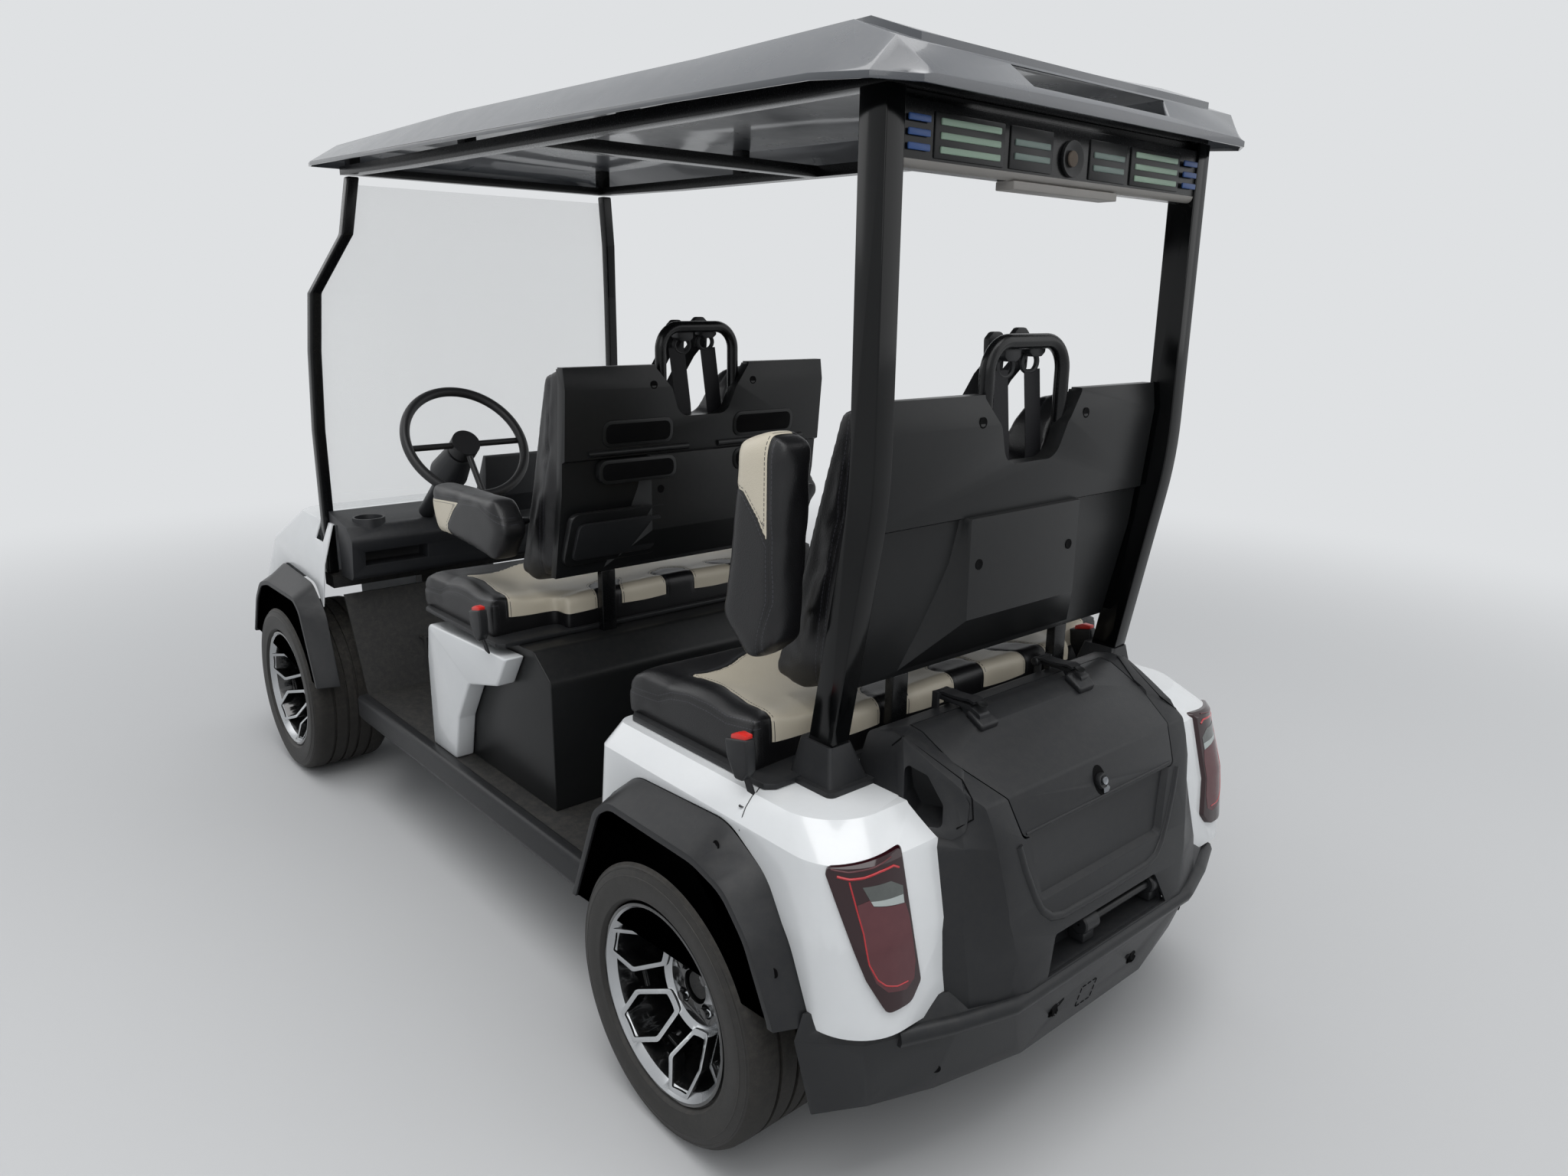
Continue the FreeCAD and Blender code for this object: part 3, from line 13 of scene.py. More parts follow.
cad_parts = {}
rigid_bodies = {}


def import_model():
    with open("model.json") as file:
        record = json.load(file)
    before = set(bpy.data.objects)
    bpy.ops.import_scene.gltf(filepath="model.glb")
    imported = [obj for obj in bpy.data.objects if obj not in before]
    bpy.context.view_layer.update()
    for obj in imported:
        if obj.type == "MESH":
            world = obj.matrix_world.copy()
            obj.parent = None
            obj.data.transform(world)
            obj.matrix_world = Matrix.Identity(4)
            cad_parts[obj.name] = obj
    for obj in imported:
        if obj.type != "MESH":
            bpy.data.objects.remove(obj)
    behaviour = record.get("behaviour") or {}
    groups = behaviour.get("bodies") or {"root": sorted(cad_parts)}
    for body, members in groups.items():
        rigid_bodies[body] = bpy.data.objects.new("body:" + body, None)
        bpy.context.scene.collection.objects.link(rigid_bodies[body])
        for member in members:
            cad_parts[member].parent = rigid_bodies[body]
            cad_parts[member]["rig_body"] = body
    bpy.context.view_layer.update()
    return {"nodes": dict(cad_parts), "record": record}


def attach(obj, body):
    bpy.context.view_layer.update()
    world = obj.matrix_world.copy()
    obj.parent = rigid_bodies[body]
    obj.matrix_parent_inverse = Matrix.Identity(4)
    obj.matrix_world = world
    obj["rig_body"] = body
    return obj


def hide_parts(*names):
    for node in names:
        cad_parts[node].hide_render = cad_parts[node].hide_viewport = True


log = logging.getLogger("golf_cart")
Point = tuple[float, float, float]
Flat = tuple[float, float]
Outline = tuple[Flat, ...]
# Low and high y, then low and high z
Edge = tuple[float, float, float, float]
FaceTest = Callable[[Vector, Vector], bool]
Piece = bpy.types.Object
Socket = bpy.types.NodeSocket
Tree = bpy.types.NodeTree

# The rear axle stands this far behind the frame's origin, so X_REAR + x is the frame's x
X_REAR = -1.039
WHEELBASE = 2.187
WHEEL_Z = 0.28
CORNERS = ("front_left", "front_right", "rear_left", "rear_right")
# What sits on the rear bench is repeated this far ahead
TO_FRONT: Point = (1.01, 0.0, 0.0)
# Rear face of the trunk lid: its x from the rear axle at one height, and how far it leans ahead per metre
LID_FACE_X = -0.47
LID_FACE_FOOT = 0.7
LID_FACE_LEAN = 0.4
LOCK_Z = 0.706

# Directions in which a line runs into a surface
AHEAD = Vector((1.0, 0.0, 0.0))
INWARD = Vector((0.0, -1.0, 0.0))
DOWN = Vector((0.0, 0.0, -1.0))


class Side(Enum):
    """The two sides of the cart."""

    LEFT = 1
    RIGHT = -1


# Colour and node helpers


def linear(hex_code: str) -> tuple[float, float, float, float]:
    """Turns an sRGB hex colour into the linear colour that a socket takes.

    Args:
        hex_code: Six hex digits.

    Returns:
        Red, green, blue and alpha in linear light.
    """
    parts = [int(hex_code[i:i + 2], 16) / 255 for i in (0, 2, 4)]
    values = [c / 12.92 if c <= 0.04045 else ((c + 0.055) / 1.055) ** 2.4 for c in parts]
    return (values[0], values[1], values[2], 1.0)


def add_node(tree: Tree, kind: str, settings: dict | None = None,
             links: dict | None = None) -> bpy.types.Node:
    """Adds one node, with its settings and the links and values of its inputs.

    Args:
        tree: The node tree that gets the node.
        kind: The node's type name after ShaderNode.
        settings: Attributes that are set on the node itself.
        links: Input name or index to an output socket or to a plain value.

    Returns:
        The new node.
    """
    node = tree.nodes.new("ShaderNode" + kind)
    for key, value in (settings or {}).items():
        setattr(node, key, value)
    for key, value in (links or {}).items():
        socket = node.inputs[key]
        if isinstance(value, Socket):
            tree.links.new(value, socket)
        else:
            socket.default_value = value
    return node


def bare_material(name: str) -> bpy.types.Material:
    """New material with an empty node tree.

    Args:
        name: Name of the real material, as the finish gives it.

    Returns:
        The new material.
    """
    material = bpy.data.materials.new(name)
    material.use_nodes = True
    material.node_tree.nodes.clear()
    return material


@dataclass(frozen=True)
class Grain:
    """A moulded or sprayed grain: its size and how deep it shades."""

    size_mm: float
    depth_mm: float
    roughness_swing: float = 0.06


@dataclass(frozen=True)
class Coating:
    """A named real material that is built once, when a piece first needs it."""

    name: str

    def build(self) -> bpy.types.Material:
        """Builds the material, or finds it from an earlier call.

        Returns:
            The material.
        """
        material = bpy.data.materials.get(self.name)
        if material is None:
            material = bare_material(self.name)
            self.fill(material)
        return material

    def fill(self, material: bpy.types.Material) -> None:
        """Adds the shader and its patterns to the new material."""
        raise NotImplementedError


@dataclass(frozen=True)
class Finish(Coating):
    """One real finish, built as a node material on Object coordinates."""

    colour: str
    roughness: float
    metallic: float = 0.0
    coat: float = 0.0
    ior: float = 1.5
    specular: float = 0.5
    grain: Grain | None = None
    tint: str | None = None
    tint_size_mm: float = 120.0
    dust: float = 0.0
    dust_colour: str = "8d867a"
    alpha: float = 1.0

    def fill(self, material: bpy.types.Material) -> None:
        """Adds the finish's colour, roughness and grain to the new material.

        Args:
            material: The new material, with an empty node tree.
        """
        tree = material.node_tree
        shader = add_node(tree, "BsdfPrincipled", {}, {
            "Metallic": self.metallic, "Coat Weight": self.coat, "Coat Roughness": 0.06, "Alpha": self.alpha})
        add_node(tree, "OutputMaterial", {}, {"Surface": shader.outputs["BSDF"]})
        if self.metallic == 0.0:
            shader.inputs["IOR"].default_value = self.ior
            shader.inputs["Specular IOR Level"].default_value = self.specular
        coords = add_node(tree, "TexCoord").outputs["Object"]
        if self.tint is None and self.dust <= 0.0:
            shader.inputs["Base Color"].default_value = linear(self.colour)
        else:
            tree.links.new(self._colour(tree, coords), shader.inputs["Base Color"])
        self._surface(tree, coords, shader)
        material.diffuse_color = linear(self.colour)

    def _colour(self, tree: Tree, coords: Socket) -> Socket:
        """Base colour with a slow tint and the dust that settles on faces that look up.

        Args:
            tree: The node tree.
            coords: Object coordinates.

        Returns:
            The colour.
        """
        clouds = add_node(tree, "TexNoise", {}, {
            "Vector": coords, "Scale": 1000.0 / self.tint_size_mm, "Detail": 4.0, "Roughness": 0.6})
        mix = add_node(tree, "Mix", {"data_type": "RGBA"}, {
            "Factor": clouds.outputs["Fac"], 6: linear(self.colour), 7: linear(self.tint or self.colour)})
        colour = mix.outputs[2]
        if self.dust <= 0.0:
            return colour
        up = add_node(tree, "SeparateXYZ", {}, {
            0: add_node(tree, "NewGeometry").outputs["Normal"]}).outputs["Z"]
        specks = add_node(tree, "TexNoise", {}, {
            "Vector": coords, "Scale": 60.0, "Detail": 6.0, "Roughness": 0.75})
        settled = add_node(tree, "MapRange", {}, {
            "Value": up, "From Min": -0.2, "From Max": 1.0, "To Min": 0.15, "To Max": 1.0})
        speckled = add_node(tree, "MapRange", {}, {
            "Value": specks.outputs["Fac"], "From Min": 0.42, "From Max": 0.75, "To Min": 0.0,
            "To Max": self.dust})
        amount = add_node(tree, "Math", {"operation": "MULTIPLY"}, {
            0: settled.outputs["Result"], 1: speckled.outputs["Result"]})
        dusty = add_node(tree, "Mix", {"data_type": "RGBA"}, {
            "Factor": amount.outputs[0], 6: colour, 7: linear(self.dust_colour)})
        return dusty.outputs[2]

    def _surface(self, tree: Tree, coords: Socket, shader: bpy.types.Node) -> None:
        """Roughness that varies a little, and the bump of the grain.

        Args:
            tree: The node tree.
            coords: Object coordinates.
            shader: The shader that gets both.
        """
        grain = self.grain or Grain(90.0, 0.0, 0.04)
        noise = add_node(tree, "TexNoise", {}, {
            "Vector": coords, "Scale": 1000.0 / grain.size_mm, "Detail": 3.0, "Roughness": 0.55})
        rough = add_node(tree, "MapRange", {}, {
            "Value": noise.outputs["Fac"], "From Min": 0.3, "From Max": 0.7,
            "To Min": max(0.02, self.roughness - grain.roughness_swing),
            "To Max": min(1.0, self.roughness + grain.roughness_swing)})
        tree.links.new(rough.outputs["Result"], shader.inputs["Roughness"])
        if grain.depth_mm > 0.0:
            bump = add_node(tree, "Bump", {}, {
                "Height": noise.outputs["Fac"], "Distance": grain.depth_mm / 1000.0, "Strength": 1.0})
            tree.links.new(bump.outputs["Normal"], shader.inputs["Normal"])


# ABS body panels, sprayed gloss white: a clean bright skin with a little road dust
WHITE_ABS = Finish("white_gloss_abs", "e9ebec", 0.22, coat=0.6, tint="e2e5e7", dust=0.05,
                   dust_colour="b9b3a8")
# Grained polypropylene: the fine leather grain greys the black and breaks up the highlight
GRAINED_PP = Finish("grained_polypropylene", "1f2022", 0.4, specular=0.28,
                    grain=Grain(1.6, 0.1, 0.05), tint="252628", dust=0.04)
# Gloss black ABS of the roof and posts: its colour and tint are lifted to mid grey as a painted reflection of
# the sky, softened by dust
GLOSS_BLACK_PAINTED_SHEEN = Finish("gloss_black_abs", "46494e", 0.3, coat=0.5, tint="4e5156", dust=0.08)
# Powder coated steel tube: deep black with a slight orange peel
POWDER_COAT = Finish("black_powder_coat", "070809", 0.24, specular=0.28, grain=Grain(2.6, 0.03, 0.05),
                     tint="111214", dust=0.03)
# Moulded matt ABS seat shell: even satin black
MATT_SHELL = Finish("matt_abs_shell", "151617", 0.34, specular=0.28, grain=Grain(0.9, 0.05, 0.05),
                    tint="1b1c1d", dust=0.03)
# Soft touch dashboard plastic
DASH_PP = Finish("dash_polypropylene", "17181b", 0.5, grain=Grain(1.2, 0.06, 0.05), tint="1e2024", dust=0.06)
# Chassis paint under the body: dull and dusty
UNDER_STEEL = Finish("dull_chassis_paint", "121314", 0.6, grain=Grain(4.0, 0.08, 0.08), tint="1a1a1a",
                     dust=0.25)
# Smoked outer lens of the tail lamp: dark maroon that still mirrors the sky
RED_LENS = Finish("smoked_red_polycarbonate", "2c0810", 0.08, specular=0.35, coat=0.35, tint="22060c")
# Red lens over the stop lamp's reflector: dusty rose. The same rose on the thin bar along the lamp's top
# ledge is a painted highlight
ROSE_LENS_AND_LEDGE_HIGHLIGHT = Finish("rose_lamp_reflector", "62383c", 0.14, specular=0.4, tint="552c31", tint_size_mm=30.0)
# Light guide round the lamp: the brightest red of it
RED_GUIDE = Finish("red_light_guide", "b81420", 0.12, coat=0.5)
# Clear window of the reversing lamp over a grey reflector
GREY_LENS = Finish("reversing_lamp_reflector", "565b58", 0.1, coat=0.6, tint="3f4442", tint_size_mm=18.0)
# Pale bar at the foot of the reversing window
PALE_LENS = Finish("reversing_lamp_bar", "aab2b0", 0.12, coat=0.6)
# Black of open joints, which hardly returns light; on holes, slots and wells it is painted shade that stands
# for their dark insides
JOINT_BLACK_AND_HOLE_SHADE = Finish("open_joint_black", "040405", 0.8, specular=0.1)
# Woven polyester webbing of the belts
WEBBING = Finish("black_belt_webbing", "141417", 0.62, specular=0.3, grain=Grain(2.4, 0.12, 0.05),
                 tint="1a1a1d")
# Red press button of a belt buckle
BUCKLE_RED = Finish("red_buckle_button", "e02a22", 0.32, specular=0.5)
# Pale green diffusers of the roof light bar
GREEN_DIFFUSER = Finish("pale_green_diffuser", "93ab98", 0.4, specular=0.4)
# Smoked diffusers near the middle of the bar
SMOKED_DIFFUSER = Finish("smoked_diffuser", "6d7d77", 0.4, specular=0.4)
# Blue diffusers of the bar's end
BLUE_DIFFUSER = Finish("blue_diffuser", "2f4f86", 0.4, specular=0.4)
# Grey cone of the loudspeaker's middle
SPEAKER_CONE = Finish("speaker_cone_paper", "5a5148", 0.7, specular=0.3)
# Pale grey underside of the light bar's tray
TRAY_PALE = Finish("pale_tray_plastic", "8d8a86", 0.5, specular=0.4)
# Smooth gloss of the posts' lacquer over steel
POST_LACQUER = Finish("black_post_lacquer", "050607", 0.14, specular=0.25, tint="08090a", dust=0.01)
# Clear lamp lens over a grey reflector
CLEAR_LENS = Finish("clear_polycarbonate_lamp", "aab0b4", 0.08, coat=1.0, tint="8b9196")
# Clear acrylic windshield: almost all light goes through, its edges show green grey
CLEAR_SCREEN = Finish("clear_acrylic_sheet", "dfe6e6", 0.04, alpha=0.12, ior=1.49)
# Vinyl floor mat with a dusty nap
FLOOR_MAT = Finish("ribbed_vinyl_mat", "1d1e1f", 0.62, grain=Grain(2.5, 0.2, 0.06), tint="262524", dust=0.14)
# Battery tray paint
TRAY_GREY = Finish("battery_tray_paint", "2c2d2f", 0.5, grain=Grain(3.0, 0.05), tint="343538", dust=0.1)
# Tyre rubber of the sidewall: satin black with a brown bloom of dust
TYRE_RUBBER = Finish("tyre_rubber", "1b1a19", 0.52, specular=0.45, grain=Grain(1.4, 0.04, 0.06),
                     tint="24221f", tint_size_mm=60.0, dust=0.12)
# Gloss black enamel of the cast wheel
RIM_BLACK = Finish("gloss_black_wheel_enamel", "0b0c0d", 0.14, coat=0.8, tint="101112", dust=0.03)
# Diamond-cut aluminium under clear coat: bright, with a fine turned sheen
RIM_CUT = Finish("diamond_cut_aluminium", "b9bbbd", 0.26, metallic=1.0, tint="a9abad", tint_size_mm=40.0)
# Tread rubber: the same black scuffed greyer and duller by the road
TREAD_RUBBER = Finish("road_worn_tread", "201f1e", 0.68, specular=0.35, grain=Grain(1.8, 0.1, 0.06),
                      tint="2b2926", tint_size_mm=30.0, dust=0.22)
# Bare axle end: brownish steel with grease
AXLE_STEEL = Finish("greased_axle_steel", "6e6353", 0.3, metallic=1.0, tint="9a8a6c", tint_size_mm=14.0)
# Cast drum paint behind the spokes
DRUM_IRON = Finish("painted_drum_iron", "0e0f10", 0.38, tint="191a1b", grain=Grain(3.0, 0.05), dust=0.1)
# Chromed steel nuts
CHROME = Finish("chromed_steel", "cfd2d4", 0.08, metallic=1.0, tint="c4c7ca")
# Zinc plated steel: grey with a soft bloom
ZINC = Finish("zinc_plated_steel", "8d9094", 0.34, metallic=1.0, tint="777a7e", grain=Grain(3.0, 0.02))
# Steering wheel grip: smooth moulded foam
GRIP_FOAM = Finish("moulded_grip_foam", "121214", 0.48, grain=Grain(1.0, 0.05), tint="18181a")
# Black seat vinyl: embossed hide grain, soft sheen on the crowns
BLACK_VINYL = Finish("black_seat_vinyl", "131315", 0.38, specular=0.55, grain=Grain(2.2, 0.12, 0.06),
                     tint="1b1b1d", dust=0.03)

# Which finish each CAD node gets
FINISH_NODES: tuple[tuple[Finish, tuple[str, ...]], ...] = (
    (WHITE_ABS, ("rear_fenders", "side_pods", "front_cowl")),
    (GRAINED_PP, ("sills", "rear_bumper", "wheel_flares", "front_bumper", "trunk_tub", "trunk_lid",
                  "post_boots", "rear_seat_base")),
    (MATT_SHELL, ("seat_shells", "front_seat_base")),
    (DASH_PP, ("dashboard", "steering_column")),
    (BLACK_VINYL, ("seat_cushions", "seat_backs", "arm_pads")),
    (UNDER_STEEL, ("chassis_frame", "rear_axle", "suspension", "knuckle_left", "knuckle_right", "pedals")),
    (POWDER_COAT, ("front_posts", "roof_frame", "seat_brackets", "belt_hoops", "light_bar")),
    (GLOSS_BLACK_PAINTED_SHEEN, ("roof_shell",)), (POST_LACQUER, ("rear_posts",)), (RED_LENS, ("tail_lamps",)),
    (CLEAR_LENS, ("headlamps",)), (FLOOR_MAT, ("floor_pan",)), (TRAY_GREY, ("battery_pack",)),
    (CLEAR_SCREEN, ("windshield",)), (ZINC, ("steering_rack",)), (GRIP_FOAM, ("steering_wheel",)),
    (RIM_BLACK, tuple(f"rim_{corner}" for corner in CORNERS)),
    (TYRE_RUBBER, tuple(f"tyre_{corner}" for corner in CORNERS)))
NODE_FINISH = {node: finish for finish, nodes in FINISH_NODES for node in nodes}

# Edge round in mm of each node that is shown as a copy with softened edges
NODE_EDGE: dict[str, float] = {
    "rear_fenders": 7.0, "side_pods": 7.0, "front_cowl": 12.0, "sills": 6.0, "rear_bumper": 5.0,
    "wheel_flares": 3.5, "front_bumper": 8.0, "trunk_tub": 4.0, "trunk_lid": 4.0,
    "seat_shells": 5.0, "post_boots": 5.0, "rear_seat_base": 6.0, "front_seat_base": 34.0,
    "dashboard": 12.0, "roof_shell": 9.0, "rear_posts": 2.5, "front_posts": 5.0,
    "light_bar": 3.0, "tail_lamps": 5.0, "headlamps": 4.0, "steering_column": 3.0,
    "battery_pack": 4.0, "seat_brackets": 2.0, "roof_frame": 3.0,
}


# Mesh helpers


def new_object(name: str, data: bpy.types.ID) -> Piece:
    """Object made of the data and linked to the scene.

    Args:
        name: Name of the new object.
        data: Its mesh, curve, camera or lamp.

    Returns:
        The new object.
    """
    obj = bpy.data.objects.new(name, data)
    bpy.context.scene.collection.objects.link(obj)
    return obj


def chain(name: str, points: Sequence[Point], closed: bool = False) -> Piece:
    """Bare line through points, ready to be filled, drawn out or spun.

    Args:
        name: Name of the new object.
        points: Corners of the line.
        closed: True when the last point joins the first.

    Returns:
        The new object, a mesh of edges.
    """
    mesh = bpy.data.meshes.new(name)
    count = len(points)
    mesh.from_pydata(points, [(i, (i + 1) % count) for i in range(count if closed else count - 1)], [])
    return new_object(name, mesh)


def pick(obj: Piece) -> None:
    """Deselects everything, then selects obj and makes it the active object."""
    if bpy.context.object is not None and bpy.context.object.mode != "OBJECT":
        bpy.ops.object.mode_set(mode="OBJECT")
    bpy.ops.object.select_all(action="DESELECT")
    bpy.context.view_layer.objects.active = obj
    obj.select_set(True)


def edit(obj: Piece, work: Callable[[], None], wanted: FaceTest | None = None) -> None:
    """Runs work in edit mode on the whole of obj, or on the faces that satisfy wanted.

    Args:
        obj: The mesh object.
        work: Function that calls the edit mode operators.
        wanted: Function of a face's centre and normal, or None for the whole piece.
    """
    pick(obj)
    bpy.context.tool_settings.mesh_select_mode = (wanted is None, False, wanted is not None)
    if wanted is not None and select_faces(obj, wanted) == 0:
        log.warning("no faces chosen on %s", obj.name)
        return
    bpy.ops.object.mode_set(mode="EDIT")
    if wanted is None:
        bpy.ops.mesh.select_all(action="SELECT")
    work()
    bpy.ops.object.mode_set(mode="OBJECT")


def face_outwards(merge: float = 0.0) -> None:
    """Selects all in edit mode and turns the faces outwards.

    Args:
        merge: Distance within which doubles are merged first, or nought.
    """
    bpy.ops.mesh.select_all(action="SELECT")
    if merge > 0.0:
        bpy.ops.mesh.remove_doubles(threshold=merge)
    bpy.ops.mesh.normals_make_consistent(inside=False)


def apply_modifier(obj: Piece, kind: str, **settings: object) -> None:
    """Adds one modifier with its settings and applies it.

    Args:
        obj: The mesh object.
        kind: The modifier's type name.
        settings: Attributes set on the modifier.
    """
    pick(obj)
    modifier = obj.modifiers.new(kind.lower(), kind)
    for key, value in settings.items():
        setattr(modifier, key, value)
    bpy.ops.object.modifier_apply(modifier=modifier.name)


def smooth(obj: Piece, angle: float) -> None:
    """Shades obj smooth, with sharp edges where faces meet at more than angle degrees."""
    pick(obj)
    bpy.ops.object.shade_smooth_by_angle(angle=math.radians(angle))


def dress(obj: Piece, finish: Coating) -> Piece:
    """Gives the whole of obj one finish and returns obj."""
    obj.data.materials.clear()
    obj.data.materials.append(finish.build())
    return obj


def select_faces(obj: Piece, wanted: FaceTest) -> int:
    """Selects the faces whose centre and normal satisfy wanted, and no others.

    Args:
        obj: The mesh object, in object mode.
        wanted: Function of a face's centre and normal.

    Returns:
        How many faces are selected.
    """
    mesh = obj.data
    mesh.vertices.foreach_set("select", [False] * len(mesh.vertices))
    mesh.edges.foreach_set("select", [False] * len(mesh.edges))
    chosen = [wanted(face.center, face.normal) for face in mesh.polygons]
    mesh.polygons.foreach_set("select", chosen)
    return sum(chosen)


def paint_faces(obj: Piece, finish: Finish, wanted: FaceTest) -> None:
    """Gives the faces that satisfy wanted a further finish."""
    obj.data.materials.append(finish.build())
    index = len(obj.data.materials) - 1
    for face in obj.data.polygons:
        if wanted(face.center, face.normal):
            face.material_index = index


def twin(obj: Piece, name: str, shift: Point = (0.0, 0.0, 0.0), mirror: bool = False) -> Piece:
    """Copy of a piece with its own mesh, moved and perhaps mirrored across the middle plane."""
    other = new_object(name, obj.data.copy())
    turn = Matrix.Translation(shift)
    if mirror:
        turn = turn @ Matrix.Scale(-1.0, 4, (0.0, 1.0, 0.0))
    other.data.transform(turn)
    if mirror:
        other.data.flip_normals()
    return other


def lathe(name: str, centre: Point, profile: Sequence[Flat], steps: int, angle: float = 35.0) -> Piece:
    """Turned piece on an axis along y.

    Args:
        name: Name of the new object.
        centre: Point on the axis that the profile is measured from.
        profile: Pairs of distance along y and radius, from one end to the other.
        steps: Number of facets round.
        angle: Corners sharper than this many degrees stay sharp.

    Returns:
        The new object with outward normals.
    """
    obj = chain(name, [(centre[0], centre[1] + along, centre[2] + radius) for along, radius in profile])

    def turn() -> None:
        """Spins the profile once round and closes the seam."""
        bpy.ops.mesh.spin(steps=steps, angle=math.tau, center=centre, axis=(0.0, 1.0, 0.0))
        face_outwards(0.00001)

    edit(obj, turn)
    smooth(obj, angle)
    return obj


def slab(name: str, outline: Sequence[Point], depth: Point) -> Piece:
    """Block made by drawing a flat closed outline out along a vector.

    Args:
        name: Name of the new object.
        outline: Corners in space, all in one plane.
        depth: How far and which way the outline is drawn out.

    Returns:
        The new object with outward normals.
    """
    obj = chain(name, outline, closed=True)

    def draw_out() -> None:
        """Fills the outline, extrudes it and turns the faces outwards."""
        bpy.ops.mesh.edge_face_add()
        bpy.ops.mesh.extrude_region_move(TRANSFORM_OT_translate={"value": depth})
        face_outwards()

    edit(obj, draw_out)
    return obj


def soften(obj: Piece, width: float, segments: int = 2) -> Piece:
    """Rounds the corners of obj, shades it and returns it."""
    apply_modifier(obj, "BEVEL", width=width, segments=segments, limit_method="ANGLE",
                   angle_limit=math.radians(30.0), use_clamp_overlap=True)
    smooth(obj, 38.0)
    return obj


def bar(name: str, points: Sequence[Point], radius: float, steps: int = 2) -> Piece:
    """Round bar along straight runs between points.

    Args:
        name: Name of the new object.
        points: Places that its middle line passes.
        radius: Radius of the bar.
        steps: Fineness of its round section.

    Returns:
        The new object as a mesh.
    """
    curve = bpy.data.curves.new(name, "CURVE")
    curve.dimensions = "3D"
    curve.bevel_depth = radius
    curve.bevel_resolution = steps
    curve.use_fill_caps = True
    spline = curve.splines.new("POLY")
    spline.points.add(len(points) - 1)
    for target, point in zip(spline.points, points):
        target.co = (*point, 1.0)
    pick(new_object(name, curve))
    bpy.ops.object.convert(target="MESH")
    obj = bpy.context.object
    smooth(obj, 50.0)
    return obj


def webbing(name: str, path: Sequence[Point], across: Point, width: float,
            thickness: float = 0.0016) -> Piece:
    """Flat strap along a path, its width along one steady direction.

    Args:
        name: Name of the new object.
        path: Places that its middle line passes.
        across: Direction of its width.
        width: Width of the strap.
        thickness: Thickness of the strap.

    Returns:
        The new strap.
    """
    half = Vector(across).normalized() * (width / 2)
    obj = chain(name, [Vector(point) - half for point in path])

    def weave() -> None:
        """Draws the edge of the strap across its width."""
        bpy.ops.mesh.extrude_region_move(TRANSFORM_OT_translate={"value": half * 2})
        face_outwards()

    edit(obj, weave)
    apply_modifier(obj, "SOLIDIFY", thickness=thickness, offset=0.0)
    smooth(obj, 40.0)
    return dress(obj, WEBBING)


def button(name: str, place: Point, way: Point, radius: float, height: float, socket: float = 0.0) -> Piece:
    """Round head that stands on a surface, perhaps with a sunk socket.

    Args:
        name: Name of the new object.
        place: Middle of its foot.
        way: Direction in which it stands out.
        radius: Radius of the head.
        height: How far it stands out.
        socket: Depth of the round socket in its end, or nought.

    Returns:
        The new object.
    """
    turn = Vector(way).to_track_quat("Z", "Y")
    bpy.ops.object.select_all(action="DESELECT")
    bpy.ops.mesh.primitive_cylinder_add(vertices=24, radius=radius, depth=height)
    obj = bpy.context.object
    obj.name = name

    def sink() -> None:
        """Insets the end and pushes it in."""
        bpy.ops.mesh.inset(thickness=radius * 0.35)
        bpy.ops.transform.translate(value=(0.0, 0.0, -socket))

    if socket > 0.0:
        edit(obj, sink, lambda centre, normal: normal.z > 0.9)
    soften(obj, min(height, radius) * 0.25, 2)
    obj.data.transform(Matrix.Translation(Vector(place)) @ turn.to_matrix().to_4x4()
                       @ Matrix.Translation((0.0, 0.0, height / 2)))
    return obj


def join(name: str, pieces: Sequence[Piece]) -> Piece:
    """Joins pieces into the first one and names it."""
    pick(pieces[0])
    for piece in pieces:
        piece.select_set(True)
    bpy.ops.object.join()
    pieces[0].name = name
    return pieces[0]


def at(x: float, y: float, z: float) -> Point:
    """Point given by its x from the rear axle, its y and its height."""
    return (X_REAR + x, y, z)


def lid_face(z: float) -> float:
    """The x from the rear axle of the trunk lid's rear face at a height."""
    return LID_FACE_X + LID_FACE_LEAN * (z - LID_FACE_FOOT)


